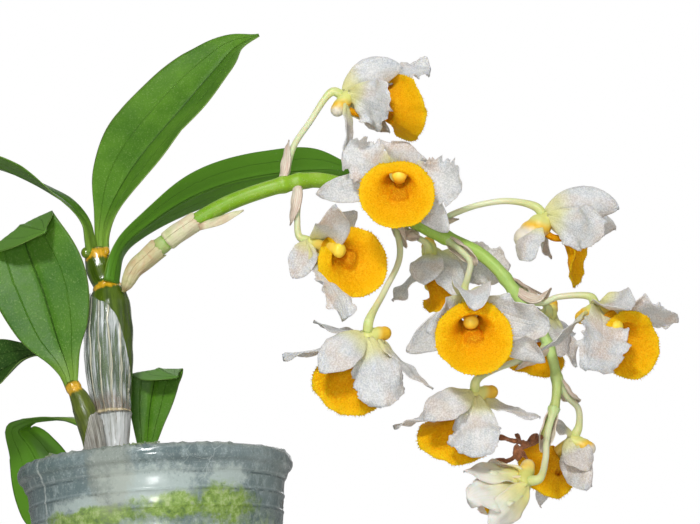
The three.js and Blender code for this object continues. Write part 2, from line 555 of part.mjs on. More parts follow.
function tepalSurface(bloom, place, phase, grow = 0) {
  const tepal = bloom[place];
  const { base, ruffle } = TEPALS[place];
  const axes = bloomAxes(bloom);
  const hub = vec(bloom.hub);
  const root = hub.clone();
  axes.forEach((axis, i) => root.addScaledVector(axis, base[i]));
  const tip = hub.clone().add(vec(tepal.tip));
  const along = tip.clone().sub(root).normalize();
  const inside = axes[2].clone().addScaledVector(along, -axes[2].dot(along)).normalize();
  const middle = root.clone().lerp(tip, 0.5).addScaledVector(inside, 2 * tepal.bow);
  const spine = new THREE.QuadraticBezierCurve3(root, middle, tip);
  const isPetal = tepal.half > 8;
  return (t, s) => {
    const tangent = spine.getTangent(t);
    const inner = inside.clone().addScaledVector(tangent, -inside.dot(tangent)).normalize();
    inner.applyAxisAngle(tangent, (tepal.twist ?? 0) * RAD);
    const across = tangent.clone().cross(inner);
    const fan = isPetal ? Math.sin(Math.PI * t ** 1.5) ** 0.7 : Math.sin(Math.PI * t ** 1.05) ** 0.8;
    const half = tepal.half * (0.14 + 0.86 * (Number.isNaN(fan) ? 0 : fan)) + grow;
    const wave = ruffle * s * s * Math.sin(11 * t + 1.7 * s + phase);
    const point = spine.getPoint(t);
    point.addScaledVector(across, s * half);
    return point.addScaledVector(inner, tepal.cup * half * s * s + wave);
  };
}

// The lip: a throat round the column that flares into a nearly round dish.
function lipSurface(bloom, phase) {
  const { middle, face, radius } = bloom.dish;
  const [right, up, forward] = bloomAxes(bloom);
  const hub = vec(bloom.hub);
  const throat = hub.clone().addScaledVector(forward, LIP_THROAT_PLACE).addScaledVector(up, -1.2);
  const dish = hub.clone().add(vec(middle));
  const normal = vec(face).normalize();
  const upward = up.clone().addScaledVector(normal, -up.dot(normal)).normalize();
  const sideways = upward.clone().cross(normal);
  return (t, s) => {
    const angle = s * Math.PI;
    const inner = right.clone().multiplyScalar(Math.sin(angle)).addScaledVector(up, -Math.cos(angle));
    const outer = sideways.clone().multiplyScalar(Math.sin(angle)).addScaledVector(upward, -Math.cos(angle));
    const reach = mix(LIP_THROAT_RADIUS, radius, t ** 1.2);
    const point = throat.clone().lerp(dish, 1 - (1 - t) ** 2.6);
    point.addScaledVector(inner.lerp(outer, t), reach);
    return point.addScaledVector(normal, 1.5 * t * t + 0.7 * t * t * Math.sin(5 * angle + phase));
  };
}

function placed(solid, bloom) {
  const matrix = new THREE.Matrix4().makeBasis(...bloomAxes(bloom)).setPosition(...bloom.hub);
  return solid.transform(matrix.elements);
}

// Hub, chin and column, each swollen by grow.
function makeCore(bloom, grow) {
  const bulge = bloom.chin ?? 1;
  const hub = ball([0, -0.8, 0], [3.2 + grow, 3.6 + grow, 2.6 + grow], 4);
  const chin = ball([0, -5 * bulge, -2.6 * bulge], [2.7, 4.2, 3.5].map((r) => r * bulge + grow), 5);
  const column = rod([[0, 0, -1], [0, 0, 6], [0, -0.3, COLUMN_LENGTH]],
    (t) => mix(1.6, 2.6, t) + grow, 2, 4);
  return [hub, chin, column].map((solid) => placed(solid, bloom));
}

// The direction from the hub in which its pedicel arrives: behind the bloom, above the chin.
function pedicelSide(bloom) {
  const coming = vec(bloom.via.at(-1)).sub(vec(bloom.hub)).normalize().multiplyScalar(0.4);
  coming.addScaledVector(vec(bloom.face).normalize(), -0.75);
  coming.addScaledVector(vec(bloom.up).normalize(), 0.5);
  return coming.normalize();
}

function tepalBlades(bloom, index, grow) {
  return Object.keys(TEPALS).map((place, k) => {
    const isPetal = bloom[place].half > 8;
    const surface = tepalSurface(bloom, place, index * 1.9 + k * 2.3, grow);
    return blade(surface, isPetal ? 4 : 3, isPetal ? 3 : 2, () => TEPAL_THICKNESS + 2 * grow);
  });
}

function makeTepals(bloom, index) {
  return fuse([...makeCore(bloom, 0), ...tepalBlades(bloom, index, 0)]);
}

function makeLip(bloom, index) {
  const dish = ringBlade(lipSurface(bloom, index * 1.3), 3, LIP_SEGMENTS, LIP_THICKNESS);
  const claw = placed(rod([[0, -5.4, 1.5], [0, -6.2, 5], [0, -5, 9.2]], () => 1.3, 2, 5), bloom);
  const clearance = fuse([...makeCore(bloom, SEAT_GAP), ...tepalBlades(bloom, index, SEAT_GAP)]);
  return largestBody(fuse([dish, claw]).subtract(clearance));
}

function makePedicel(bloom) {
  const back = pedicelSide(bloom);
  const start = rachis.getPointAt(bloom.leaves);
  const hub = vec(bloom.hub);
  const end = hub.clone().addScaledVector(back, HUB_REACH + SEAT_GAP);
  const before = hub.clone().addScaledVector(back, HUB_REACH + 2.5);
  return rod([start, ...bloom.via.slice(0, -1).map(vec), before, end],
    (t) => PEDICEL_RADIUS * (1 + 0.3 * (2 * t - 1) ** 2), bloom.via.length + 1, 4);
}

// A small boat-shaped bract that stands at the foot of a pedicel.
function makeBract(bloom, index) {
  const start = rachis.getPointAt(bloom.leaves);
  const aim = vec(bloom.via[0]).sub(start).normalize();
  const tangent = rachis.getTangentAt(bloom.leaves);
  const side = aim.clone().cross(tangent).normalize();
  const lift = side.clone().cross(aim).normalize();
  const turn = index % 2 ? 1 : -1;
  const surface = (t, s) => {
    const half = 2.1 * Math.sin(Math.PI * Math.min(0.97, 0.25 + 0.72 * t));
    const point = start.clone().addScaledVector(aim, 11 * t);
    point.addScaledVector(lift, turn * (1.2 + 2.2 * t * t) - turn * 1.1 * s * s);
    point.addScaledVector(side, s * half);
    return point;
  };
  return blade(surface, 2, 2, () => 0.7);
}

function makeRaceme() {
  const stem = rod(RACHIS, (t) => radiusBetween(RACHIS_RADII, t), 24, 6);
  return fuse([stem, ...BLOOMS.map(makePedicel), ...BLOOMS.map(makeBract)]);
}

function makeWitheredBuds() {
  const tip = vec(RACHIS.at(-1));
  const way = rachis.getTangentAt(1);
  const root = tip.clone().addScaledVector(way, SEAT_GAP);
  const bend = root.clone().addScaledVector(way, 3);
  const stub = rod([root, bend, vec([137.5, -3, 93.2])], (t) => mix(1, 1.4, t), 2, 6);
  const first = ball([136, -3.5, 92.4], [3.6, 2.2, 1.9], 6);
  const second = ball([131.5, -4.4, 93.6], [3.4, 1.8, 1.5], 6);
  return fuse([stub, first, second]);
}

// ------------------------------------------------------------------ assembly
const mainBulb = makeBulb(MAIN_BULB);
const smallBulb = makeBulb(SMALL_BULB);
const bulbClearance = makeBulb(MAIN_BULB, SEAT_GAP).add(makeBulb(SMALL_BULB, SEAT_GAP));
const raceme = makeRaceme();

addPiece('pot', makePot(), FINISHES.clearPlastic);

const petioleRoot = rod([[-7, 21, 75], ...LEAVES.leaf_short.rib.slice(1, 3)], () => 3, 3, 8);
const barkOutline = [[0, POT_WALL + 0.75], [potRadius(2) - 2.2, POT_WALL + 0.75],
  [potRadius(BARK_TOP) - POT_WALL - 0.6, BARK_TOP - 1.5], [potRadius(BARK_TOP) - POT_WALL - 2, BARK_TOP]];
for (let ring = 6; ring > 0; ring--) {
  barkOutline.push([ring * 6, BARK_TOP + BARK_BUMP * Math.sin(ring * 2.1)]);
}
barkOutline.push([0, BARK_TOP + 1]);
const bark = latheSolid(barkOutline, 14).subtract(bulbClearance).subtract(petioleRoot);
addPiece('bark', largestBody(bark), FINISHES.bark);

addPiece('pseudobulb_main', mainBulb, FINISHES.bulb);
addPiece('pseudobulb_small', smallBulb, FINISHES.bulb);

const SILVER_SHEATH = { foot: 0.4, topLeft: 0.82, topRight: 0.7, fromAngle: 120, toAngle: 335 };
addPiece('sheath_silver', makeSheath(MAIN_BULB, SILVER_SHEATH, 6, 10), FINISHES.drySheath);

for (const [name, leaf] of Object.entries(LEAVES)) {
  addPiece(name, largestBody(makeLeaf(leaf).subtract(bulbClearance)), FINISHES.leaf);
}

addPiece('raceme_stem', largestBody(raceme.subtract(bulbClearance)), FINISHES.stem);
addPiece('withered_buds', makeWitheredBuds(), FINISHES.witheredBud);

BLOOMS.forEach((bloom, index) => {
  const number = String(index + 1).padStart(2, '0');
  addPiece(`bloom_${number}_tepals`, makeTepals(bloom, index), FINISHES.petal);
  addPiece(`bloom_${number}_lip`, makeLip(bloom, index), FINISHES.lip);
});

export default plant;
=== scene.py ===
"""Looks of the potted dendrobium orchid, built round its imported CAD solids.

Sizes are in millimetres, as in the part's source, and MM turns them into metres where a
mesh is made. Leaves, petals, lips and dry skins are thin sheets round surface(t, s), which
takes whole arrays: t runs from base to tip and s from -1 to 1 across.
"""
import math

import bpy
import numpy as np
from mathutils import Matrix, Vector


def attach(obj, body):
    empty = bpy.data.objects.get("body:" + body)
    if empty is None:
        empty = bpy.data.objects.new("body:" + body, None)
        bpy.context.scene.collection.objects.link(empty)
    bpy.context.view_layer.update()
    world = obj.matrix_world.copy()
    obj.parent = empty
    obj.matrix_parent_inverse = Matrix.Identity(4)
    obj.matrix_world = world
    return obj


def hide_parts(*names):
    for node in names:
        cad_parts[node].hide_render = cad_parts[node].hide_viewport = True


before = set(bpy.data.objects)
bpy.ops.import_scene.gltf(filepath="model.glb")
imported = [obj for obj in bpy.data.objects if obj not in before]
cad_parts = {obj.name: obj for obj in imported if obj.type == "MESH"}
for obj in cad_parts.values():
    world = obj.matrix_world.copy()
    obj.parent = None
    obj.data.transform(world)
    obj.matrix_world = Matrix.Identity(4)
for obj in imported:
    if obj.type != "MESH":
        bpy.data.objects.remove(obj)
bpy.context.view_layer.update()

MM = 0.001
TURN = 2 * math.pi
SLOPE_STEP = 2e-3
draw = np.random.default_rng(7)

# ---------------------------------------------------------------- dimensions
# SEAT_GAP is what stays free between pieces that stand on or in each other.
SEAT_GAP = 0.32
POT_HEIGHT = 98
RIM_RADIUS = 50
POT_BASE_RADIUS = 37
POT_WALL = 1.2
RIM_OVERHANG = 2.6
RIM_BAND_HEIGHT = 9.5
GROOVE_HEIGHTS = [77, 82.8]
DRAIN_HOLES = 5
DRAIN_HOLE_RADIUS = 3.2
DRAIN_CIRCLE_RADIUS = 22
BARK_TOP = 78
BARK_TOP_RADIUS = 41
CHIP_ROWS = 10
CHIP_ROW_STEP = 7.6
CHIPS_IN_ROW = 20
CHIP_COUNT = 330
BULB_RIBS = 8
LEAF_THICKNESS = 0.8
PETIOLE_THICKNESS = 2.6
TEPAL_THICKNESS = 0.5
TEPAL_ROOT_THICKNESS = 1.7
LIP_THICKNESS = 0.6
LIP_THROAT_RADIUS = 3.6
LIP_THROAT_PLACE = 7.5
LIP_TEETH = 66
LIP_HAIRS = 260
COLUMN_LENGTH = 14.5
HUB_REACH = 2.9
PEDICEL_RADIUS = 1.15
BRACT_LENGTH = 17

# moss on the rim: degrees to the right of the front, spread in degrees, number of crumbs
MOSS_TUFTS = [(-42, 1.2, 24), (2, 3.5, 60), (112, 7, 50), (-118, 6, 50), (165, 5, 40)]

# The camera's place, tilt and roll in degrees, and its focal length on a 36 mm sensor.
CAMERA_PLACE = (76, -600, 12)
CAMERA_PITCH = 14.6
CAMERA_ROLL = -4.15
CAMERA_LENS = 84.7

# lamps in metres and watts: place, aim, size, power
LAMPS = {
    "key": ((-0.02, -0.7, 0.45), (0.05, 0, 0.15), 0.1, 3.3),
    "flash": ((0.049, -0.64, 0.038), (0.05, -0.04, 0.15), 0.07, 0.8),
    "fill": ((0.75, -0.35, 0.3), (0.06, 0, 0.15), 0.5, 0.5),
    "top": ((0.0, 0.1, 0.85), (0.05, 0, 0.15), 0.5, 0.7),
    "rear": ((0.0, 0.8, 0.5), (0.05, 0, 0.12), 0.6, 1.5),
}
SURROUND_LIGHT = 0.2
FLOOR_GLOW = 0.4
FLOOR_HALF = 1.6
FLOOR_LEVEL = -2e-4


# ------------------------------------------------------------------- shapes
def unit(v):
    v = np.asarray(v, float)
    return v / np.maximum(np.linalg.norm(v, axis=-1, keepdims=True), 1e-9)


def mix(a, b, t):
    return a + (b - a) * t


def column(x):
    """An array of numbers as a column, so that it scales rows of points."""
    return np.asarray(x, float)[..., None]


def ease(low, high, x):
    """0 below low, 1 above high, smooth between."""
    t = np.clip((x - low) / (high - low), 0, 1)
    return t * t * (3 - 2 * t)


def even(value):
    """The same thickness or radius everywhere."""
    return lambda t, s: value + 0 * t


def circle(sides):
    """Evenly spaced angles, all round."""
    return np.arange(sides) / sides * TURN


def station(count, t):
    """The station just before t, of count evenly spaced ones, and how far t is beyond it."""
    place = np.clip(t, 0, 1) * (count - 1)
    i = np.clip(place.astype(int), 0, count - 2)
    return i, place - i


def profile(stations, t):
    """A smooth value through evenly spaced stations."""
    v = np.array(stations, float)
    i, w = station(len(v), t)
    before, a, b, after = v[np.maximum(i - 1, 0)], v[i], v[i + 1], v[np.minimum(i + 2, len(v) - 1)]
    slope_a, slope_b = (b - before) / 2, (after - a) / 2
    cubic = (2 * a - 2 * b + slope_a + slope_b) * w**3
    return cubic + (3 * b - 3 * a - 2 * slope_a - slope_b) * w**2 + slope_a * w + a


def guide_at(guides, t):
    """The direction between the nearest two of evenly spaced guides."""
    g = np.array(guides, float)
    i, w = station(len(g), t)
    return unit(mix(g[i], g[i + 1], column(w)))


def ripple(points, size, seed=0, waves=7):
    """A smooth random field between about -1 and 1 over points, with swells of that size."""
    pick = np.random.default_rng(seed)
    total = 0
    for _ in range(waves):
        way = unit(pick.normal(size=3)) * (TURN / size) * pick.uniform(0.6, 1.6)
        total = total + np.sin(points @ way + pick.uniform(0, TURN))
    return total / waves * 1.6


def creased(surface, at, line, beyond, turn, radius=1.2):
    """A surface bent sharply about the line through at, by turn degrees, on its beyond side."""
    line, beyond = unit(line), unit(beyond)
    normal = np.cross(line, beyond)
    most = math.radians(turn)

    def bent(t, s):
        p = surface(t, s) - at
        along, out, lift = p @ line, p @ beyond, p @ normal
        bend = np.clip(out / radius, 0, most)
        straight = np.maximum(out - most * radius, 0)
        new_out = np.where(out > 0, np.sin(bend) * (radius - lift) + np.cos(bend) * straight, out)
        new_lift = np.where(out > 0, radius - np.cos(bend) * (radius - lift) + np.sin(bend) * straight, lift)
        return at + column(along) * line + column(new_out) * beyond + column(new_lift) * normal

    return bent


class Curve:
    """A centripetal Catmull-Rom curve through points, read by its share of length."""

    def __init__(self, points, per_span=30):
        p = np.array(points, float)
        p = np.vstack([2 * p[0] - p[1], p, 2 * p[-1] - p[-2]])
        spans = [self.span(p[i - 1:i + 3], per_span) for i in range(1, len(p) - 2)]
        self.points = np.vstack([*spans, p[-2:-1]])
        steps = np.linalg.norm(np.diff(self.points, axis=0), axis=1)
        self.length = steps.sum()
        self.share = np.concatenate([[0], np.cumsum(steps)]) / self.length

    def span(self, four, per_span):
        a, b, c, d = four
        k1 = math.sqrt(np.linalg.norm(b - a))
        k2 = k1 + math.sqrt(np.linalg.norm(c - b))
        k3 = k2 + math.sqrt(np.linalg.norm(d - c))
        t = column(np.linspace(k1, k2, per_span, endpoint=False))
        ab = mix(a, b, t / k1)
        bc = mix(b, c, (t - k1) / (k2 - k1))
        cd = mix(c, d, (t - k2) / (k3 - k2))
        return mix(mix(ab, bc, t / k2), mix(bc, cd, (t - k1) / (k3 - k1)), (t - k1) / (k2 - k1))

    def at(self, t):
        return np.stack([np.interp(t, self.share, self.points[:, k]) for k in range(3)], -1)

    def tangent(self, t):
        return unit(self.at(np.clip(t + SLOPE_STEP, 0, 1)) - self.at(np.clip(t - SLOPE_STEP, 0, 1)))


def grid_faces(rows, columns, first=0, wrap=False, flip=False):
    """Four-sided faces over rows of points."""
    i, j = np.meshgrid(np.arange(rows - 1), np.arange(columns if wrap else columns - 1), indexing="ij")
    a = first + i * columns + j
    b = first + i * columns + (j + 1) % columns
    faces = np.stack([a, b, b + columns, a + columns], -1).reshape(-1, 4)
    return faces[:, ::-1] if flip else faces


def sheet(surface, along, across, thickness, ring=False):
    """A thin closed sheet: its points, faces, and (t, s, 1 in front or -1 behind) at each."""
    t = np.linspace(0, 1, along + 1)
    s = np.linspace(-1, 1, across + 1)[:across if ring else None]
    t, s = np.meshgrid(t, s, indexing="ij")
    lengthways = surface(np.minimum(t + SLOPE_STEP, 1), s) - surface(np.maximum(t - SLOPE_STEP, 0), s)
    normal = unit(np.cross(surface(t, s + SLOPE_STEP) - surface(t, s - SLOPE_STEP), lengthways))
    half = normal * column(thickness(t, s)) / 2
    middle = surface(t, s)
    rows, columns = t.shape
    count = rows * columns
    points = np.concatenate([middle + half, middle - half]).reshape(-1, 3)
    front = np.ones_like(t)
    place = np.concatenate([np.stack([t, s, front], -1), np.stack([t, s, -front], -1)]).reshape(-1, 3)
    faces = [grid_faces(rows, columns, wrap=ring), grid_faces(rows, columns, count, ring, flip=True)]
    foot = np.arange(columns)
    top = foot + (rows - 1) * columns
    if ring:
        edges = [np.append(foot, foot[0]), np.append(top, top[0])[::-1]]
    else:
        right = np.arange(rows) * columns + columns - 1
        left = np.arange(rows) * columns
        edges = [np.concatenate([foot, right[1:], top[-2::-1], left[-2::-1]])]
    for edge in edges:
        a, b = edge[:-1], edge[1:]
        faces.append(np.stack([a, a + count, b + count, b], -1))
    return points, np.concatenate(faces), place


def capped(skin, rows, sides, first, last):
    """Rings of points, closed by a fan of faces round a first and a last point."""
    faces = grid_faces(rows, sides, wrap=True).tolist()
    end = (rows - 1) * sides
    for j in range(sides):
        k = (j + 1) % sides
        faces.append([len(skin), k, j])
        faces.append([len(skin) + 1, end + j, end + k])
    return np.vstack([skin, first, last]), faces


def rod(curve, radius_at, rings, sides):
    """A closed round rod on a curve. radius_at(t, angle) gives the radius."""
    t = np.linspace(0, 1, rings + 1)
    centre, tangent = curve.at(t), curve.tangent(t)
    normal = np.zeros_like(centre)
    normal[0] = unit(np.cross(tangent[0], [0.3, 1, 0.2]))
    for i in range(1, rings + 1):
        normal[i] = unit(normal[i - 1] - tangent[i] * (normal[i - 1] @ tangent[i]))
    binormal = np.cross(tangent, normal)
    t, angle = np.meshgrid(t, circle(sides), indexing="ij")
    ways = normal[:, None] * column(np.cos(angle)) + binormal[:, None] * column(np.sin(angle))
    skin = (centre[:, None] + ways * column(radius_at(t, angle))).reshape(-1, 3)
    points, faces = capped(skin, rings + 1, sides, centre[0], centre[-1])
    place = np.stack([t, angle / math.pi - 1, np.ones_like(t)], -1).reshape(-1, 3)
    return points, faces, np.vstack([place, [0, 0, 1], [1, 0, 1]])


def turned(outline, sides):
    """A closed body of revolution. The outline starts and ends on the axis."""
    radius, height = np.array(outline[1:-1]).T
    angle = circle(sides)
    skin = np.stack([radius[:, None] * np.cos(angle), radius[:, None] * np.sin(angle),
                     height[:, None] + 0 * angle], -1).reshape(-1, 3)
    points, faces = capped(skin, len(radius), sides, [0, 0, outline[0][1]], [0, 0, outline[-1][1]])
    return points, faces, np.zeros_like(points)


def ball(centre, radii, rings=14, sides=20):
    """A closed ellipsoid."""
    down, turn = np.meshgrid(np.linspace(0.02, 0.98, rings) * math.pi, circle(sides), indexing="ij")
    skin = [np.sin(down) * np.cos(turn), np.sin(down) * np.sin(turn), np.cos(down)]
    points = np.stack(skin, -1).reshape(-1, 3)
    faces = grid_faces(rings, sides, wrap=True, flip=True).tolist()
    faces += [list(range(sides)), list(range((rings - 1) * sides, rings * sides))[::-1]]
    return points * np.array(radii) + np.array(centre), faces, np.zeros_like(points)


def joined(parts):
    """Several (points, faces, place) as one."""
    faces, first = [], 0
    for points, part_faces, _ in parts:
        faces.extend([i + first for i in face] for face in part_faces)
        first += len(points)
    return np.vstack([p[0] for p in parts]), faces, np.vstack([p[2] for p in parts])


# --------------------------------------------------------------- making pieces
def new_object(name, data):
    thing = bpy.data.objects.new(name, data)
    bpy.context.scene.collection.objects.link(thing)
    return thing


def mesh_object(name, points, faces):
    mesh = bpy.data.meshes.new(name)
    faces = faces.tolist() if isinstance(faces, np.ndarray) else faces
    mesh.from_pydata(points.tolist(), [], faces)
    return new_object(name, mesh)


def evaluated(thing):
    return thing.evaluated_get(bpy.context.evaluated_depsgraph_get())


def remove(thing):
    mesh = thing.data
    bpy.data.objects.remove(thing)
    bpy.data.meshes.remove(mesh)


def add_piece(name, shape, look, slot, *nodes):
    """A piece of the object: it rides on the part's one body and stands for CAD nodes."""
    points, faces, place = shape
    piece = mesh_object(name, points * MM, faces)
    mesh = piece.data
    mesh.attributes.new("place", "FLOAT_VECTOR", "POINT").data.foreach_set("vector", place.ravel())
    mesh.polygons.foreach_set("use_smooth", [True] * len(mesh.polygons))
    mesh.materials.append(look)
    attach(piece, "root")
    if nodes:
        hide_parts(*nodes)
    return piece


def melted(parts, voxel, smoothing=6):
    """The parts' union as one smooth skin, remeshed at that voxel size."""
    blob = mesh_object("melt", *joined(parts)[:2])
    remesh = blob.modifiers.new("remesh", "REMESH")
    remesh.mode = "VOXEL"
    remesh.voxel_size = voxel
    smooth = blob.modifiers.new("smooth", "SMOOTH")
    smooth.iterations = smoothing
    done = evaluated(blob).to_mesh()
    skin = np.array([v.co[:] for v in done.vertices])
    faces = [list(p.vertices) for p in done.polygons]
    remove(blob)
    return skin, faces


def bore(piece, cutters):
    """Cuts closed bodies out of a piece."""
    points, faces, _ = joined(cutters)
    cutter = mesh_object("cutter", points * MM, faces)
    cut = piece.modifiers.new("cut", "BOOLEAN")
    cut.operation = "DIFFERENCE"
    cut.object = cutter
    done = bpy.data.meshes.new_from_object(evaluated(piece))
    piece.modifiers.clear()
    piece.data = done
    remove(cutter)


# ------------------------------------------------------------------ materials
def colour(code):
    """#rrggbb as linear light."""
    parts = [int(code[i:i + 2], 16) / 255 for i in (1, 3, 5)]
    return [c / 12.92 if c <= 0.04045 else ((c + 0.055) / 1.055) ** 2.4 for c in parts] + [1]


class Look:
    """A material put together node by node. Its tone and its relief grow layer by layer.

    t, s and face are the three numbers of the mesh's place; spot is the point in the object.
    """

    def __init__(self, name, **constants):
        self.material = bpy.data.materials.new(name)
        self.material.use_nodes = True
        self.tree = self.material.node_tree
        self.skin = self.tree.nodes["Principled BSDF"]
        for socket, value in constants.items():
            self.skin.inputs[socket.replace("_", " ")].default_value = value
        self.place = self.node("Attribute", attribute_name="place").outputs["Vector"]
        self.t, self.s, self.face = self.split(self.place)
        self.spot = self.node("TexCoord").outputs["Object"]
        self.tone = None
        self.relief = None

    def put(self, socket, value):
        if isinstance(value, bpy.types.NodeSocket):
            self.tree.links.new(value, socket)
        else:
            socket.default_value = value

    def node(self, kind, inputs=None, **settings):
        node = self.tree.nodes.new("ShaderNode" + kind)
        for key, value in settings.items():
            setattr(node, key, value)
        for key, value in (inputs or {}).items():
            self.put(node.inputs[key], value)
        return node

    def split(self, vector):
        return self.node("SeparateXYZ", {"Vector": vector}).outputs

    def maths(self, operation, a, b=0.0, c=0.0):
        return self.node("Math", {0: a, 1: b, 2: c}, operation=operation).outputs["Value"]

    def plus(self, a, b):
        return self.maths("ADD", a, b)

    def times(self, first, *others):
        for other in others:
            first = self.maths("MULTIPLY", first, other)
        return first

    def most(self, first, *others):
        for other in others:
            first = self.maths("MAXIMUM", first, other)
        return first

    def scaled(self, value, by, plus):
        return self.maths("MULTIPLY_ADD", value, by, plus)

    def shaken(self, value, noise, by):
        """value, moved up and down by a noise."""
        return self.plus(value, self.times(self.plus(noise, -0.5), by))

    def vector(self, operation, a, b):
        return self.node("VectorMath", {0: a, 1: b}, operation=operation).outputs

    def stretched(self, x, y, z):
        """Coordinates in millimetres, multiplied along each axis."""
        return self.vector("MULTIPLY", self.spot, [v / MM for v in (x, y, z)])["Vector"]

    def noise(self, size, detail=3.0, rough=0.55, source=None, twist=0.0):
        """Clouds of that size in millimetres, or in source's own measure."""
        inputs = {"Vector": source or self.spot, "Scale": 1 / size if source else 1 / (size * MM),
                  "Detail": detail, "Roughness": rough, "Distortion": twist}
        return self.node("TexNoise", inputs).outputs["Fac"]

    def streaks(self, along, across, detail, rough, through=1):
        """Clouds over the mesh's place: so many of them along it, across it and through it."""
        source = self.vector("MULTIPLY", self.place, (along, across, through))["Vector"]
        return self.noise(1.0, detail, rough, source)

    def cells(self, size, source=None, feature="F1"):
        """Distance within cells of that size in millimetres."""
        inputs = {"Vector": source or self.spot, "Scale": 1 / (size * MM)}
        return self.node("TexVoronoi", inputs, feature=feature).outputs["Distance"]

    def near(self, centre, reach, warp):
        """1 around a place in millimetres, fading out at its reach along each axis."""
        offset = self.vector("SUBTRACT", self.spot, [v * MM for v in centre])["Vector"]
        offset = self.vector("MULTIPLY", offset, [1 / (v * MM) for v in reach])["Vector"]
        return self.fade(self.shaken(self.vector("LENGTH", offset, (0, 0, 0))["Value"], warp, 1), 0.6, 1.1)

    def band(self, value, low, high, ends=(0.0, 1.0)):
        """0 at low and 1 at high, smooth between."""
        inputs = {"Value": value, "From Min": low, "From Max": high, "To Min": ends[0], "To Max": ends[1]}
        return self.node("MapRange", inputs, interpolation_type="SMOOTHSTEP").outputs["Result"]

    def fade(self, value, low, high):
        """1 at low and 0 at high, smooth between."""
        return self.band(value, low, high, (1.0, 0.0))

    def side(self):
        """0 on the middle line and 1 at both edges."""
        return self.maths("ABSOLUTE", self.s)

    def line(self, value, centre, width):
        """1 where value is at centre, and 0 further off than width."""
        return self.fade(self.maths("ABSOLUTE", self.plus(value, -centre)), 0.0, width)

    def stripes(self, value, count, width):
        """Thin lines, count of them for each unit of value."""
        return self.fade(self.maths("PINGPONG", self.times(value, float(count)), 0.5), 0.0, width)

    def ramp(self, fac, *stops):
        node = self.node("ValToRGB", {"Fac": fac})
        marks = node.color_ramp.elements
        while len(marks) < len(stops):
            marks.new(0.5)
        for mark, (place, code) in zip(marks, stops):
            mark.position = place
            mark.color = colour(code)
        return node.outputs["Color"]

    def paint(self, where, paint, share=1):
        """Lays paint, a code or a socket, over the tone: that share of it at most."""
        paint = colour(paint) if isinstance(paint, str) else paint
        where = where if share == 1 else self.times(where, share)
        self.tone = self.node("Mix", {0: where, 6: self.tone, 7: paint}, data_type="RGBA").outputs[2]

    def press(self, height, depth):
        """Adds a relief of height, that many millimetres deep."""
        inputs = {"Height": height, "Distance": depth * MM, "Strength": 1.0}
        if self.relief:
            inputs["Normal"] = self.relief
        self.relief = self.node("Bump", inputs).outputs["Normal"]

    def done(self, **sockets):
        """The material, with tone, relief and these sockets on its shader."""
        self.put(self.skin.inputs["Base Color"], self.tone)
        if self.relief:
            self.put(self.skin.inputs["Normal"], self.relief)
        for socket, value in sockets.items():
            self.put(self.skin.inputs[socket.replace("_", " ")], value)
        return self.material


def leaf_look(name, light, dark, under):
    """A leathery blade with dark ribs, a pale stalk, a pale edge painted as a highlight along its margin,
    scuffs, and its own under side.
    """
    vein = "#2f4d1c"
    look = Look(name, Specular_IOR_Level=0.22)
    patch = look.noise(16, 4, 0.6)
    look.tone = look.ramp(patch, (0.3, dark), (0.7, light))
    sweep = look.shaken(look.s, patch, 0.06)
    wide = look.stripes(sweep, 2.0, 0.045)
    look.paint(look.stripes(sweep, 15, 0.3), vein, 0.05)
    look.paint(wide, vein, 0.12)
    rib = look.line(look.s, 0.0, 0.045)
    look.paint(rib, vein, 0.6)
    # a pale line along the margin: a painted highlight on the leaf's edge
    look.paint(look.band(look.side(), 0.965, 1.0), "#a9bd6e", 0.4)
    look.paint(look.band(look.noise(0.7, 3, 0.7), 0.54, 0.66), "#8fae62", 0.3)
    look.paint(look.fade(look.t, 0.02, 0.2), "#82a63c", 0.7)
    look.paint(look.fade(look.face, -0.2, 0.2), under)
    scuff = look.band(look.noise(1.0, 6, 0.75, look.stretched(0.5, 0.14, 0.5)), 0.64, 0.7)
    look.paint(scuff, "#a3b48a", 0.22)
    look.press(look.noise(0.9, 3), 0.08)
    look.press(look.plus(rib, wide), -0.2)
    return look.done(Roughness=look.scaled(look.noise(4, 4), 0.3, 0.28))


def tepal_look(name, painted_brown_shade):
    """Waxy white sepals and petals with fine grains, faint veins, green-yellow feet and tan patches of
    painted shade.
    """
    look = Look(name, Specular_IOR_Level=0.4, Subsurface_Weight=0.22, Subsurface_Scale=0.002,
                Subsurface_Radius=(1.0, 0.8, 0.5), Sheen_Weight=0.15)
    cloud = look.noise(9, 4, 0.6)
    look.tone = look.ramp(cloud, (0.3, "#b4babf"), (0.5, "#cbcecf"), (0.72, "#d9d8d5"))
    # tan patches: painted brown shade, as of light seen through the petals
    look.paint(look.band(look.noise(12, 2), 0.46, 0.66), "#d0b8a6", painted_brown_shade)
    grain = look.noise(0.55, 2)
    look.paint(look.band(grain, 0.42, 0.6), "#ffffff", 0.4)
    look.paint(look.fade(grain, 0.3, 0.42), "#9aa0a4", 0.06)
    fan = look.stripes(look.s, 4.5, 0.16)
    look.paint(look.times(fan, look.fade(look.t, 0.2, 0.9)), "#a9ab8f", 0.08)
    look.paint(look.band(look.side(), 0.86, 1.0), "#d9cfc6", 0.3)
    edge = look.shaken(look.t, cloud, 0.25)
    look.paint(look.fade(edge, 0.06, 0.42), "#e2df7e", 0.72)
    look.press(grain, 0.16)
    look.press(look.noise(3.5, 4, 0.6), 0.4)
    look.press(fan, -0.08)
    return look.done(Roughness=look.scaled(grain, 0.3, 0.38))


def closed_tepal_look():
    """The half-closed last bloom, pale yellow with green veins."""
    look = Look("tepal_cream", Roughness=0.5, Subsurface_Weight=0.22, Subsurface_Scale=0.002)
    cloud = look.noise(8, 4, 0.6)
    look.tone = look.ramp(cloud, (0.3, "#dedad2"), (0.6, "#e9e6e0"), (0.8, "#f4f1ec"))
    look.paint(look.fade(look.t, 0.1, 0.85), "#e9df72", 0.8)
    look.paint(look.stripes(look.s, 4.5, 0.16), "#c4cb74", 0.14)
    look.paint(look.band(look.side(), 0.8, 1.0), "#e2d8d0", 0.5)
    look.press(look.noise(0.45, 2), 0.1)
    look.press(look.noise(3.5, 4), 0.3)
    return look.done()


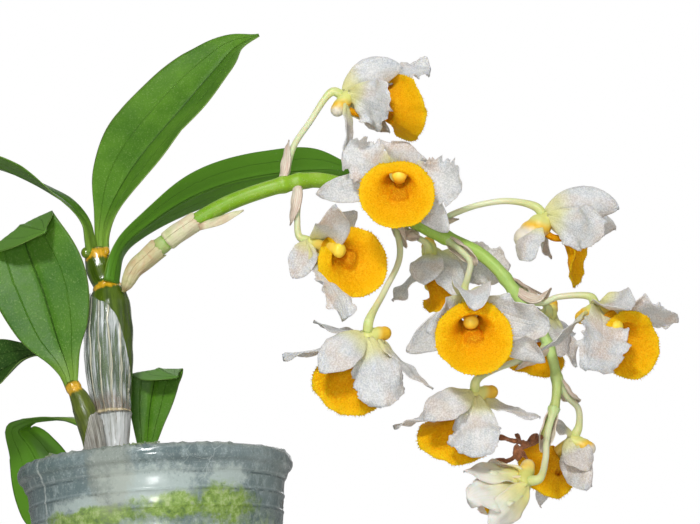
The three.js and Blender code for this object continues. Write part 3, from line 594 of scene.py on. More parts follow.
def lip_look():
    """Velvety orange-yellow, darker round the throat, with pleats that run to the margin."""
    look = Look("lip_orange", Specular_IOR_Level=0.08, Sheen_Weight=0.12, Sheen_Roughness=0.5,
                Sheen_Tint=colour("#ffb020"), Subsurface_Weight=0.3, Subsurface_Scale=0.003)
    pleat = look.streaks(0.9, 7, 3, 0.6, 0)
    edge = look.shaken(look.t, pleat, 0.12)
    look.tone = look.ramp(edge, (0.0, "#cb8500"), (0.3, "#e69d00"), (0.5, "#f4ab00"), (0.8, "#f8b400"),
                          (1.0, "#ffc414"))
    look.paint(look.band(pleat, 0.5, 0.7), "#e8a000", 0.1)
    look.paint(look.band(look.noise(7, 3), 0.5, 0.8), "#ffc010", 0.3)
    side = look.fade(look.side(), 0.17, 0.21)
    callus = look.times(side, look.band(look.line(look.t, 0.22, 0.12), 0.0, 0.3))
    look.paint(callus, "#c97a00", 0.75)
    velvet = look.noise(0.55, 2)
    look.paint(look.band(velvet, 0.5, 0.62), "#ffcf30", 0.4)
    look.paint(look.fade(velvet, 0.34, 0.46), "#c97c00", 0.35)
    look.press(velvet, 0.3)
    look.press(pleat, 0.15)
    return look.done(Roughness=look.scaled(velvet, 0.3, 0.55))


def core_look(name, foot, chin, white):
    """Chin, hub and column: place holds the bloom's own right, up and forward in millimetres."""
    look = Look(name, Roughness=0.38, Specular_IOR_Level=0.5, Subsurface_Weight=0.2, Subsurface_Scale=0.0015,
                Subsurface_Radius=(1.0, 0.9, 0.4))
    forward = look.scaled(look.face, 1 / 24, 8 / 24)
    look.tone = look.ramp(forward, (0.35, foot), (0.5, "#e9cd5c"), (0.76, "#eab922"), (0.86, "#ffe03c"))
    look.paint(look.fade(look.s, -4.5, -1.5), chin)
    look.paint(look.fade(look.s, -7.5, -4.5), "#e4e2da", white)
    look.paint(look.noise(4, 3), "#f6e29a", 0.15)
    look.press(look.noise(0.5, 2), 0.08)
    return look.done()


def stem_look():
    """The rachis: bright green, paler towards its end, with light waxy specks."""
    look = Look("rachis_green", Specular_IOR_Level=0.35, Coat_Weight=0.1, Coat_Roughness=0.3,
                Subsurface_Weight=0.1, Subsurface_Scale=0.002)
    look.tone = look.ramp(look.t, (0.11, "#6fa30a"), (0.3, "#86b212"), (0.6, "#a2c850"), (0.85, "#bcda85"),
                          (1.0, "#b3b565"))
    look.paint(look.fade(look.t, 0.103, 0.108), "#c3cc90", 0.6)
    streak = look.streaks(60, 2.2, 4, 0.6)
    look.paint(look.band(streak, 0.45, 0.7), "#cfe08c", 0.2)
    speck = look.fade(look.cells(0.9), 0.12, 0.28)
    look.paint(speck, "#dfe9b4", 0.25)
    look.paint(look.band(look.noise(11, 3), 0.5, 0.75), "#5f9a1c", 0.3)
    look.press(streak, 0.1)
    look.press(speck, 0.08)
    return look.done(Roughness=look.scaled(streak, 0.2, 0.34))


def pedicel_look():
    """Flower stalks: pale yellow-green, nearly white midway, greener at the bloom."""
    look = Look("pedicel_pale", Roughness=0.4, Specular_IOR_Level=0.5, Subsurface_Weight=0.2,
                Subsurface_Scale=0.002, Coat_Weight=0.1)
    look.tone = look.ramp(look.t, (0.0, "#b3cf74"), (0.2, "#cdd9a0"), (0.6, "#dfe2b8"), (0.85, "#d3da8e"),
                          (1.0, "#cdd873"))
    streak = look.streaks(9, 1.6, 3, 0.6)
    look.paint(streak, "#eef0d6", 0.3)
    look.paint(look.fade(look.cells(0.7), 0.1, 0.25), "#f4f5e6", 0.3)
    look.press(streak, 0.08)
    return look.done()


def papery_look(name, pale, brown, seam, cover=1.0, ribs=6):
    """A dry fibrous skin: length-wise threads over blotches."""
    look = Look(name, Specular_IOR_Level=0.4)
    thread = look.streaks(2.2, ribs * 3.0, 5, 0.7)
    fine = look.stripes(look.s, ribs * 2.5, 0.3)
    blotch = look.noise(5, 5, 0.65, twist=0.5)
    look.tone = look.ramp(thread, (0.3, brown), (0.55, pale), (0.75, pale))
    look.paint(look.band(blotch, 0.45, 0.65), seam, 0.5)
    look.paint(fine, brown, 0.35)
    look.press(thread, 0.4)
    look.press(fine, 0.15)
    if cover < 1:
        look.put(look.skin.inputs["Alpha"], look.scaled(look.band(thread, 0.35, 0.7), 1 - cover, cover))
    return look.done(Roughness=look.scaled(blotch, 0.35, 0.4))


def husk_look(name, pale, pink, green):
    """The peduncle's sheaths: smooth dry skin, blotched pink and green, with a few fibres."""
    look = Look(name, Specular_IOR_Level=0.4, Coat_Weight=0.1, Coat_Roughness=0.35)
    cloud = look.noise(7, 4, 0.6, twist=0.6)
    look.tone = look.ramp(cloud, (0.3, green), (0.5, pale), (0.72, pink))
    thread = look.streaks(4, 8, 4, 0.6)
    look.paint(look.band(thread, 0.5, 0.68), "#e8e2c4", 0.4)
    look.paint(look.band(look.streaks(5, 14, 4, 0.7), 0.66, 0.72), "#7d5a36", 0.25)
    look.paint(look.fade(look.t, 0.03, 0.14), "#8f5a30", 0.6)
    look.press(thread, 0.15)
    return look.done(Roughness=look.scaled(thread, 0.3, 0.4))


def bulb_look(name, rings, papery_to, light, dark):
    """A pseudobulb's skin: olive and glossy, yellow at its nodes, papery below a height."""
    look = Look(name, Specular_IOR_Level=0.55, Coat_Weight=0.5, Coat_Roughness=0.14)
    streak = look.streaks(6, 9, 5, 0.65)
    look.tone = look.ramp(streak, (0.3, dark), (0.7, light))
    wobble = look.shaken(look.t, streak, 0.045)
    for ring, width in rings:
        ringed = look.line(wobble, ring, width)
        look.paint(look.band(ringed, 0.1, 0.6), "#c79a12")
        look.paint(look.times(look.band(ringed, 0.5, 0.9), look.band(streak, 0.4, 0.6)), "#e8b42a")
    cover = look.fade(look.t, papery_to - 0.015, papery_to + 0.015)
    dry = look.ramp(look.streaks(4, 14, 5, 0.7), (0.3, "#9a9c92"), (0.5, "#d4d9d8"), (0.7, "#ffffff"))
    look.paint(cover, dry)
    fibre = look.band(look.streaks(9, 22, 4, 0.8), 0.56, 0.66)
    look.paint(look.times(fibre, cover), "#6d5232", 0.8)
    look.press(streak, 0.3)
    return look.done(Roughness=look.scaled(cover, 0.35, 0.22))


def silver_look():
    """The dry sheath round the main bulb: clear silvery skin with cream veins and white streaks painted as
    highlights.
    """
    look = Look("sheath_silver_dry", Specular_IOR_Level=0.7, Coat_Weight=0.4, Coat_Roughness=0.2)
    lane = look.shaken(look.s, look.streaks(2.5, 1.2, 2, 0.5), 0.22)
    vein = look.stripes(lane, 4.4, 0.13)
    streak = look.streaks(1.6, 13, 4, 0.6)
    # the palest streaks are painted highlights
    look.tone = look.ramp(streak, (0.3, "#6d7a70"), (0.5, "#a3b1ad"), (0.66, "#f0f5f6"))
    look.paint(vein, "#e6e2c6")
    fibre = look.streaks(9, 24, 4, 0.7)
    brown = look.times(look.fade(look.t, 0.08, 0.24), look.band(fibre, 0.4, 0.55))
    look.paint(brown, "#86654a", 0.75)
    seam = look.line(look.plus(look.t, look.times(fibre, 0.03)), 0.035, 0.022)
    look.paint(seam, "#d8c79a")
    # the painted highlight streaks are made nearly opaque
    white = look.times(look.band(streak, 0.5, 0.64), 0.9)
    cover = look.scaled(look.most(white, vein, brown, seam), 0.75, 0.14)
    look.press(look.plus(vein, streak), 0.3)
    return look.done(Alpha=cover, Roughness=look.scaled(streak, 0.3, 0.15))


# mineral film and algae at the front of the pot: centre and reach in millimetres
POT_FILM = [((-21, -42, 79), (13, 20, 4)), ((2, -47, 84), (20, 20, 8)), ((30, -42, 86), (9, 20, 5))]
POT_ALGAE = [((-18, -43, 75), (26, 20, 4)), ((10, -46, 77), (16, 20, 5)), ((30, -42, 77), (15, 20, 8))]


def pot_look():
    """Clear plastic gone blue-grey with age: scratched, with mineral film and algae inside."""
    look = Look("pot_clear_plastic", IOR=1.46, Specular_IOR_Level=0.5)
    x, y, z = look.split(look.spot)
    turn = look.maths("ARCTAN2", x, look.times(y, -1.0))
    film = look.noise(20, 5, 0.6, twist=0.4)
    look.tone = look.ramp(film, (0.3, "#5d7072"), (0.5, "#76888a"), (0.7, "#8e9e9e"))
    haze = look.noise(1.0, 5, 0.75, look.stretched(0.3, 0.3, 0.2))
    look.paint(look.band(haze, 0.48, 0.7), "#b0bebc", 0.5)
    dust = look.band(look.noise(0.8, 3, 0.7), 0.56, 0.68)
    look.paint(dust, "#d3dcd9", 0.35)

    # fine scratches, and a web of crazing on the right
    across = look.band(look.noise(1.0, 3, 0.6, look.stretched(0.18, 0.18, 2.4)), 0.6, 0.68)
    look.paint(across, "#b7c4c4", 0.2)
    push = look.times(look.plus(look.noise(6, 3, 0.6), -0.5), 7 * MM)
    web = look.cells(7, look.vector("ADD", look.spot, push)["Vector"], "DISTANCE_TO_EDGE")
    web = look.times(look.fade(web, 0.0, 0.035), look.band(turn, 0.1, 0.5))
    look.paint(look.times(web, look.band(look.noise(16, 2), 0.42, 0.55)), "#c3cfcd", 0.5)

    # painted shade along the underside of each moulded ring, patchy where the haze is, and a faint painted
    # highlight just above it
    for height in [*GROOVE_HEIGHTS, POT_HEIGHT - RIM_BAND_HEIGHT]:
        ring = look.line(z, (height - 0.5) * MM, 0.0006)
        look.paint(look.times(ring, look.band(haze, 0.4, 0.6)), "#4d5d5e")
        look.paint(look.line(z, (height + 0.5) * MM, 0.0005), "#b9c6c6", 0.25)

    # mineral film and algae, mostly below the rim band
    grain = look.noise(2.5, 5, 0.7)
    ragged = look.plus(look.scaled(look.noise(9, 4, 0.7), 1.6, -0.7), look.times(grain, 0.8))
    patch = look.plus(look.noise(17, 4, 0.65), look.times(grain, 0.25))
    mineral = look.times(look.band(patch, 0.62, 0.78), look.fade(z, 0.068, 0.078))
    for centre, reach in POT_FILM:
        mineral = look.most(mineral, look.near(centre, reach, ragged))
    look.paint(mineral, "#c3d0cb", 0.6)
    weed = look.plus(look.noise(19, 5, 0.7, twist=1.2), look.times(grain, 0.3))
    algae = look.times(look.band(weed, 0.57, 0.8), look.fade(z, 0.066, 0.078))
    for centre, reach in POT_ALGAE:
        algae = look.most(algae, look.near(centre, reach, ragged))
    green = look.ramp(grain, (0.35, "#55731a"), (0.5, "#86a534"), (0.68, "#b9c98a"))
    look.paint(algae, green, 0.85)

    # the bulb's pale foot behind the wall, and one white seam
    foot = look.near((-10, -46, 90), (9, 30, 17), grain)
    look.paint(foot, "#a9ab9c", 0.45)
    drift = look.plus(turn, look.times(look.noise(9, 3), 0.03))
    seam = look.line(look.plus(drift, look.times(z, -2.2)), -1.03, 0.02)
    look.paint(look.times(seam, look.band(grain, 0.35, 0.55)), "#cdd6d2")

    # crust and dirt on the rim
    crust = look.times(look.band(z, 0.0955, 0.0978), look.band(look.noise(3, 5, 0.7), 0.35, 0.6))
    look.paint(crust, "#a2aaa0", 0.7)
    dirt = look.times(look.band(look.noise(2.2, 5, 0.8), 0.56, 0.66), look.band(z, 0.088, 0.097))
    look.paint(dirt, "#4d584a", 0.55)

    cover = look.scaled(look.band(haze, 0.4, 0.7), 0.12, 0.8)
    for solid in (mineral, algae, crust, foot):
        cover = look.most(cover, look.times(solid, 0.96))
    look.press(look.noise(1.3, 3), 0.03)
    look.press(crust, 0.4)
    rough = look.most(crust, dust, mineral, algae)
    gloss = look.plus(look.times(rough, 0.08), look.times(haze, 0.28))
    return look.done(Alpha=cover, Roughness=gloss)


def bark_look(name, pale, dark, moss_share):
    """Brown bark, dark in its clouds, and the greener the larger moss_share is."""
    look = Look(name, Specular_IOR_Level=0.3)
    cloud = look.noise(6, 6, 0.7, twist=0.5)
    look.tone = look.ramp(cloud, (0.3, dark), (0.65, pale))
    moss = look.band(look.noise(11, 5, 0.7), 0.66 - moss_share, 0.72 - moss_share)
    look.paint(moss, "#5d7a22", 0.85)
    look.press(look.noise(1.2, 5, 0.7), 0.8)
    return look.done(Roughness=look.scaled(cloud, 0.3, 0.65))


def crumb_look(name, pale, dark):
    """Moss and withered buds: rough and blotched."""
    look = Look(name, Specular_IOR_Level=0.3, Sheen_Weight=0.2)
    cloud = look.noise(1.6, 5, 0.7)
    look.tone = look.ramp(cloud, (0.3, dark), (0.7, pale))
    look.press(look.noise(0.5, 4, 0.7), 0.4)
    return look.done(Roughness=look.scaled(cloud, 0.3, 0.6))


# ------------------------------------------------------------------- the pot
def pot_radius(z):
    """The outer radius of the wall at a height."""
    return POT_BASE_RADIUS + (RIM_RADIUS - RIM_OVERHANG - POT_BASE_RADIUS) / POT_HEIGHT * z


def rounded(outline, rounds=2):
    """An outline with its corners cut, so that they turn round."""
    line = np.array(outline, float)
    for _ in range(rounds):
        a, b = line[:-1], line[1:]
        cut = np.stack([mix(a, b, 0.25), mix(a, b, 0.75)], 1).reshape(-1, 2)
        line = np.vstack([line[:1], cut[1:-1], line[-1:]])
    return line


def make_pot(look):
    foot = POT_HEIGHT - RIM_BAND_HEIGHT
    floor = POT_WALL + 0.4
    outline = [[0, 0], [pot_radius(0) - 0.6, 0], [pot_radius(0), 0.8]]
    for z in GROOVE_HEIGHTS:
        outline += [[pot_radius(z - 1), z - 1], [pot_radius(z) + 0.55, z], [pot_radius(z + 0.4), z + 0.4]]
    outline += [[pot_radius(foot), foot], [pot_radius(foot) + 0.9, foot + 0.7]]
    for inward, down in ((1.9, 6.2), (0.5, 5.2), (0, 3.2), (0.5, 1), (1.9, 0), (3.4, 0.4)):
        outline.append([RIM_RADIUS - inward, POT_HEIGHT - down])
    outline += [[pot_radius(foot) - POT_WALL, foot - 1], [pot_radius(POT_WALL) - POT_WALL, floor], [0, floor]]
    points, faces, place = turned(rounded(outline), 176)
    dent = ripple(points, 30, 3) * 0.35 + ripple(points, 7, 4) * 0.12
    points = points + unit(points * [1, 1, 0]) * column(np.minimum(dent, 0) * ease(90, 97, points[:, 2]))
    crust = ease(96.2, 97.6, points[:, 2]) * np.maximum(ripple(points, 4, 5), 0)
    points[:, 2] = np.maximum(points[:, 2] + 0.7 * crust - 0.15, 0)
    pot = add_piece("pot_shell", (points, faces, place), look, "pot_plastic", "pot")
    holes = []
    for i in range(DRAIN_HOLES):
        angle = (i + 0.5) / DRAIN_HOLES * TURN
        centre = np.array([DRAIN_CIRCLE_RADIUS * math.cos(angle), DRAIN_CIRCLE_RADIUS * math.sin(angle), -3])
        holes.append(rod(Curve([centre, centre + [0, 0, 8]]), even(DRAIN_HOLE_RADIUS), 2, 32))
    bore(pot, holes)


# ------------------------------------------------------------ bark and moss
def make_bark_core(look):
    floor = POT_WALL + 0.8
    outline = [[0, floor], [pot_radius(2) - 5, floor], [pot_radius(76) - 6, BARK_TOP - 4], [36, BARK_TOP],
               [0, BARK_TOP]]
    points, faces, place = turned(rounded(outline, 3), 72)
    points = points + unit(points * [1, 1, 0.3]) * column(ripple(points, 9, 8)) * 0.8
    points[:, 2] = np.maximum(points[:, 2], floor)
    add_piece("bark_core", (points, faces, place), look, "bark", "bark")


def chip(centre, size, normal):
    """A rough chip of bark that lies flat against normal."""
    cube, faces, place = ball([0, 0, 0], [1, 1, 1], 6, 10)
    shape = np.sign(cube) * np.abs(cube) ** 0.65 * size
    shape = shape + column(ripple(shape + centre, 4, int(draw.integers(1e6)))) * unit(shape) * 0.6
    turn = draw.uniform(0, math.pi)
    side = unit(np.cross(normal, [math.cos(turn), math.sin(turn), 0.5]))
    return shape @ np.stack([side, np.cross(normal, side), normal]) + centre, faces, place


def make_bark_chips(look):
    """Chips against the wall and over the top, clear of what stands in the bark."""
    standing = np.array([[-13.4, 0, 7], [-19.5, -7, 6], [-7, 21, 5]])
    chips = []
    for row in range(CHIP_ROWS):
        z = 6 + row * CHIP_ROW_STEP
        for k in range(CHIPS_IN_ROW):
            angle = (k + 0.5 * (row % 2) + draw.uniform(-0.2, 0.2)) / CHIPS_IN_ROW * TURN
            out = np.array([math.cos(angle), math.sin(angle), 0])
            deep = pot_radius(z) - POT_WALL - 3.0 - draw.uniform(0, 0.8)
            chips.append(chip(out * deep + [0, 0, z], draw.uniform([4.5, 3, 1.4], [7, 4.5, 1.8]), out))
    while len(chips) < CHIP_COUNT:
        spread = BARK_TOP_RADIUS * math.sqrt(draw.uniform())
        angle = draw.uniform(0, TURN)
        z = BARK_TOP - 0.5 + draw.uniform(0, 2.2)
        centre = np.array([spread * math.cos(angle), spread * math.sin(angle), z])
        if (np.hypot(*(standing[:, :2] - centre[:2]).T) < standing[:, 2]).any():
            continue
        tilt = unit([draw.normal() * 0.25, draw.normal() * 0.25, 1])
        chips.append(chip(centre, draw.uniform([4, 2.6, 1.2], [8, 4.5, 2]), tilt))
    add_piece("bark_chips", joined(chips), look, "bark", "bark")


def make_moss(look):
    tufts = []
    for turn, spread, count in MOSS_TUFTS:
        for _ in range(count):
            angle = math.radians(turn + draw.normal() * spread)
            out = RIM_RADIUS - 2.4 + draw.normal() * 0.4
            at = [out * math.sin(angle), -out * math.cos(angle), POT_HEIGHT - 0.4 + abs(draw.normal()) * 0.3]
            tufts.append(ball(at, draw.uniform(0.25, 0.55, 3), 5, 7))
    add_piece("moss_tufts", joined(tufts), look, "bark")


# --------------------------------------------------------------- pseudobulbs
MAIN_BULB = {
    "axis": [[-13.4, 0, 76], [-14, 0, 90], [-14.6, 0, 104.8], [-14.9, 0, 116], [-15.7, 0, 134],
             [-15.5, 0, 145], [-15.2, 0, 160], [-15.9, 0, 165.4], [-17.9, 0, 170], [-18.9, 0, 175.4],
             [-19.5, 0, 180.6]],
    "radii": [[0, 3.4], [0.15, 4], [0.28, 4.9], [0.372, 6.2], [0.384, 6.7], [0.397, 6.3], [0.48, 7.6],
              [0.6, 8.7], [0.7, 8.6], [0.79, 7.6], [0.832, 6.4], [0.846, 5.4], [0.862, 5.3], [0.872, 4.5],
              [0.89, 4.6], [0.92, 5.0], [0.95, 4.8], [0.975, 4.7], [0.992, 4.3], [1, 3.2]],
}
SMALL_BULB = {
    "axis": [[-19.5, -7, 76], [-20.4, -8, 92], [-21.3, -8, 104.1], [-22.5, -8, 110.4], [-23.8, -8, 116],
             [-25.8, -8, 121.7], [-28.2, -8, 126.8], [-29, -8, 128.6]],
    "radii": [[0, 2.8], [0.3, 3.2], [0.5, 3.6], [0.7, 4.1], [0.8, 4.1], [0.88, 3.4], [0.93, 2.6],
              [0.95, 2.9], [0.985, 2.7], [1, 1.9]],
}


def around(curve, t, angle, radius):
    """The point beside a curve. An angle of 270 degrees looks towards -Y."""
    tangent = curve.tangent(t)
    across = unit(np.cross([0.0, 1.0, 0.0], tangent))
    forward = np.cross(tangent, across)
    return curve.at(t) + column(radius) * (across * column(np.cos(angle)) + forward * column(np.sin(angle)))


def bulb_skin(bulb, t, angle):
    """Points on a bulb's ribbed skin, and the way out of it at each."""
    curve = Curve(bulb["axis"])
    radius = np.interp(t, *np.array(bulb["radii"]).T)
    rib = 1 + 0.045 * ease(3.4, 7, radius) * (np.abs(np.cos(BULB_RIBS / 2 * angle)) - 0.6)
    skin = around(curve, t, angle, radius * rib)
    return skin, unit(skin - curve.at(t))


def make_bulb(name, bulb, node, look):
    """A bulb's finely wrinkled skin, closed at both ends."""
    rows, sides = 180, 90
    t, angle = np.meshgrid(np.linspace(0, 1, rows), circle(sides), indexing="ij")
    skin, out = bulb_skin(bulb, t, angle)
    wrinkle = ripple(skin * [1, 1, 0.25], 2.2, 21) * 0.1 + ripple(skin, 9, 22) * 0.12
    points = (skin + out * column(wrinkle)).reshape(-1, 3)
    faces = grid_faces(rows, sides, wrap=True).tolist()
    faces += [list(range(sides))[::-1], list(range((rows - 1) * sides, rows * sides))]
    place = np.stack([t, angle / math.pi - 1, 0 * t], -1).reshape(-1, 3)
    add_piece(name, (points, faces, place), look, "bulb_skin", node)


def make_silver_sheath(look):
    """The dry skin round the swollen part of the main bulb, torn at its top."""
    def surface(t, s):
        turn = (s + 1) / 2
        tear = 0.004 * np.sin(19 * turn) + 0.003 * np.sin(47 * turn + 1)
        top = profile([0.838, 0.838, 0.832, 0.81, 0.775, 0.7, 0.5], turn) + tear
        angle = np.radians(mix(120, 338, turn) + 3 * np.sin(9 * t) * np.abs(s) ** 6)
        skin, out = bulb_skin(MAIN_BULB, mix(0.388, top, t), angle)
        crease = 0.16 * np.sin(31 * turn + 2 * np.sin(5 * t)) + 0.1 * np.sin(77 * turn + 4 * t)
        lift = SEAT_GAP + 0.45 + crease + 0.4 * ease(0.85, 1, t) * (0.5 + 0.5 * np.sin(13 * turn))
        return skin + out * column(lift)

    add_piece("sheath_dry_skin", sheet(surface, 70, 150, even(0.22)), look, "dry_sheath", "sheath_silver")


def make_small_sheath(look):
    """A grey papery wrap on the foot of the small bulb, torn open at its top."""
    def surface(t, s):
        turn = s * math.radians(115) + math.radians(290)
        top = profile([0.42, 0.5, 0.6, 0.71, 0.73, 0.68, 0.6], (s + 1) / 2) + 0.006 * np.sin(9 * turn)
        lift = 0.5 + 0.12 * np.sin(14 * turn) + 0.5 * ease(0.75, 1, t) * (0.6 + 0.4 * np.sin(4 * turn))
        skin, out = bulb_skin(SMALL_BULB, mix(0.3, top, t), turn)
        return skin + out * column(lift)

    add_piece("sheath_small_dry", sheet(surface, 40, 90, even(0.25)), look, "dry_sheath", "pseudobulb_small")


def make_bulb_bud(name, centre, radii, look):
    """A dormant bud beside the top internode."""
    points, faces, place = ball(centre, radii, 18, 28)
    points = points + unit(points - centre) * column(ripple(points, 1.4, 5)) * 0.12
    add_piece(name, (points, faces, place), look, "bulb_skin", "pseudobulb_main")


# -------------------------------------------------------------------- leaves
# rib: points along the midrib. face: directions that the upper face looks in, from base to
# tip. width: half widths from base to tip. fold: how far the edges rise, per half width.
# tones: light and dark on its upper face, and its under side. crease: as creased() takes it.
LEAVES = {
    "leaf_top_left": {
        "tones": ["#4d7a1c", "#2f5711", "#4f7a20"],
        "rib": [[-21, -2, 178.8], [-21.2, -4, 183], [-22, -7, 189], [-26.4, -10, 195], [-33.7, -14, 200.3],
                [-42.1, -18, 205], [-54, -23, 209.8], [-70, -28, 211.6], [-85.5, -32, 208]],
        "face": [[0.8, -0.5, 0.4], [0.5, -0.5, 0.8], [0.3, -0.1, 1], [0.1, 0.1, 1], [0.2, 0.1, 1]],
        "width": [3, 3.8, 6.8, 9.8, 10.8, 9.5, 6.5, 0.5], "fold": 0.1},
    "leaf_top_upright": {
        "tones": ["#5a8a20", "#427018", "#6f9030"],
        "rib": [[-17, 1.5, 178.8], [-17.2, 2.8, 185], [-15.6, 7, 196], [-9.4, 12, 211], [-0.3, 16, 225.2],
                [13.8, 20, 242.4], [26, 22, 256.8], [36, 22, 266.8], [46, 20, 270.6]],
        "face": [[-0.2, -1, 0.1], [-0.3, -0.9, 0.3], [-0.4, -0.84, 0.37], [-0.3, -0.84, 0.4],
                 [-0.1, -0.8, 0.5]],
        "width": [2.4, 4.8, 12.2, 17.6, 18.8, 16.8, 10.8, 0.5], "fold": 0.4},
    "leaf_arching": {
        "tones": ["#6a9c2e", "#4a7b20", "#528420"],
        "rib": [[-13.2, -4.5, 165.8], [-11.7, -3, 174.1], [-9.2, 3, 182.3], [-2, 12, 191.8], [8.9, 22, 202.4],
                [22.3, 32, 211.4], [36.1, 39, 216.8], [52.4, 44, 219.8], [68, 47, 220.6], [83, 48, 218.8]],
        "face": [[-0.8, 0.6, 0.2], [-0.7, 0.5, 0.5], [-0.5, 0.6, 0.7], [-0.2, 0.7, 0.7], [0, 0.7, 0.7]],
        "width": [3.3, 3.8, 5.8, 8.6, 9.6, 9.6, 9, 1.5], "fold": 0.2},
    "leaf_broad": {
        "tones": ["#4f7e1c", "#38681a", "#5d8a34"],
        "rib": [[-28.6, -8.3, 126.4], [-29.5, -8.5, 132.3], [-33.2, -9, 144.4], [-38.2, -10, 163.5],
                [-44.4, -11, 182.9], [-49, -12, 207.5]],
        "face": [[0, -1, 0.1], [0, -1, 0.1], [0, -1, 0]],
        "width": [2.2, 5.6, 12.3, 16, 17.6, 16.9, 14.2, 10, 0.5], "fold": 0.1,
        "crease": {"at": [-43.6, -11.5, 186.8], "line": [0.861, 0, 0.509], "beyond": [-0.509, 0, 0.861],
                   "turn": 128}},
    # leaf_dark's tones are darker than the other leaves': painted shade, for it lies in leaf_broad's shadow
    "leaf_dark": {
        "tones": ["#34591a", "#1f3d10", "#4b6a24"],
        "rib": [[-29.2, -5, 126.9], [-33.7, -3, 135.9], [-39.7, 0, 141.5], [-46.5, 4, 142.4], [-54.6, 8, 140],
                [-66, 10, 135], [-79, 11, 128.5]],
        "face": [[0, -1, 0.3], [0.2, -1, 0.3], [0.2, -0.9, 0.5], [0.1, -0.8, 0.6], [0, -0.8, 0.6]],
        "width": [2, 2.2, 2.2, 4, 10, 12, 8.5, 0.5], "fold": 0.45},
    "leaf_hanging": {
        "tones": ["#4a7a1c", "#2e5614", "#568a1e"],
        "rib": [[-25.8, -7, 113.2], [-30.5, -2, 115.6], [-38, 8, 118.2], [-46, 20, 120.4], [-53, 31, 121.4],
                [-58, 38, 119.8], [-54.4, 42, 113], [-51, 43.5, 104.2], [-48.6, 44, 93.9], [-46, 43, 84],
                [-45, 41, 74.8]],
        "face": [[0, 0, 1], [0, 0, 1], [0, 0, 1], [0, 0, 1], [-0.1, 0.1, 1], [-0.2, 0.5, 0.8], [0, 1, 0.1],
                 [0, 1, 0], [0, 1, 0], [0, 1, 0], [0, 1, 0]],
        "width": [1.8, 2.2, 2.8, 3.2, 3.4, 3.8, 8.5, 12, 12.5, 10, 0.5], "fold": 0.15},
    "leaf_short": {
        "tones": ["#5c901e", "#3f7016", "#5f8c3c"],
        "rib": [[-7, 21, 77], [-6.6, 21, 92], [-6.3, 21, 104], [-5.2, 20.5, 113.6], [-3.5, 20, 124.9],
                [-1, 19, 134.3], [2.8, 18.6, 141.5], [7.5, 18.4, 147.6]],
        "face": [[0, -1, 0], [0, -1, 0]],
        "width": [1.8, 1.8, 2, 2.8, 5.4, 8.3, 9.6, 8.8, 0.5], "fold": 0.1,
        "crease": {"at": [-0.3, 19, 134.9], "line": [1, 0, 0.04], "beyond": [-0.04, 0, 1], "turn": 120}},
}


def leaf_surface(leaf):
    rib = Curve(leaf["rib"])

    def surface(t, s):
        tangent = rib.tangent(t)
        side = unit(np.cross(tangent, guide_at(leaf["face"], t)))
        up = np.cross(side, tangent)
        half = profile(leaf["width"], t)
        wave = 0.35 * np.sin(9 * t + 2 * s) * s * s + 0.18 * np.sin(23 * t + 3 * s) * s**4
        groove = 0.55 * np.exp(-((s * half / 0.9) ** 2)) * ease(0.08, 0.3, t) * ease(1.0, 0.8, t)
        lift = leaf["fold"] * half * np.abs(s) ** 1.4 + wave - groove
        return rib.at(t) + side * column(s * half) + up * column(lift)

    return creased(surface, **leaf["crease"]) if "crease" in leaf else surface


def make_leaf(name, leaf):
    def thickness(t, s):
        body = mix(PETIOLE_THICKNESS, LEAF_THICKNESS, np.minimum(1, t / 0.18))
        return body * (1 - 0.55 * np.abs(s) ** 5)

    shape = sheet(leaf_surface(leaf), 100, 32, thickness)
    look = leaf_look(name.replace("leaf", "blade"), *leaf["tones"])
    add_piece(name.replace("leaf", "foliage"), shape, look, "leaf", name)


# ---------------------------------------------------------- raceme and blooms
# The peduncle leaves the upper yellow ring, arches over and hangs beyond the pot.
RACHIS = Curve([
    [-9.2, -4.5, 161.8], [-4.2, -6, 170], [0.6, -7, 173.7], [5.7, -8, 177.3], [12.8, -9, 181.9],
    [19.4, -10, 185.4], [31, -11, 190.9], [42.5, -12, 194.4], [55.8, -12, 197.3], [65.1, -10, 198.4],
    [74, -7, 197], [84, -3, 193.5], [96.3, 0, 186.4], [107, 2, 179], [116.3, 3, 174], [125.3, 3, 168.5],
    [132, 2, 160.7], [138.4, 1, 149.1], [143.6, 0, 139.5], [146.9, -1, 130.9], [148.7, -1, 119.4],
    [147.7, -1, 110.2], [144.8, -1, 103], [141, -1.5, 97]])

# radius of the green stem against the share of its length
RACHIS_RADII = np.array([
    [0, 0.6], [0.02, 1.8], [0.05, 2.8], [0.085, 3.1], [0.098, 3.4], [0.11, 3.1], [0.2, 3], [0.4, 2.9],
    [0.6, 2.6], [0.8, 2.1], [0.93, 1.7], [1, 1.1]])

# Where sepals and petals leave the hub, in the bloom's own frame, and how much their ends wave.
TEPALS = {
    "dorsal": ([0, 2, -0.6], 0.5),
    "left": ([-2.2, 0.6, 0.2], 1.4),
    "right": ([2.2, 0.6, 0.2], 1.4),
    "low_left": ([-1.8, -3.4, -1.2], 0.6),
    "low_right": ([1.8, -3.4, -1.2], 0.6),
}

# the mentum, the sac below and behind the hub: middles and radii in the bloom's own frame
CHIN = [([0, -2.2, -0.9], [3.2, 2.8, 2.9]), ([0, -4.2, -2.1], [3.0, 2.9, 3.0]),
        ([0, -6, -3.2], [2.5, 2.7, 2.7])]

# swell: where along it a blade is widest. blunt: power of its outline. tooth: depth of its
# ragged margin. frill, fine: height of its edge's long and short waves. grid: faces along, across.
PETAL = {"swell": 1.5, "blunt": 0.55, "tooth": 0.13, "frill": 2.8, "fine": 0.8, "grid": (50, 32)}
SEPAL = {"swell": 1.05, "blunt": 0.65, "tooth": 0.035, "frill": 0.9, "fine": 0.2, "grid": (36, 20)}
PETAL_LEAST_HALF = 8


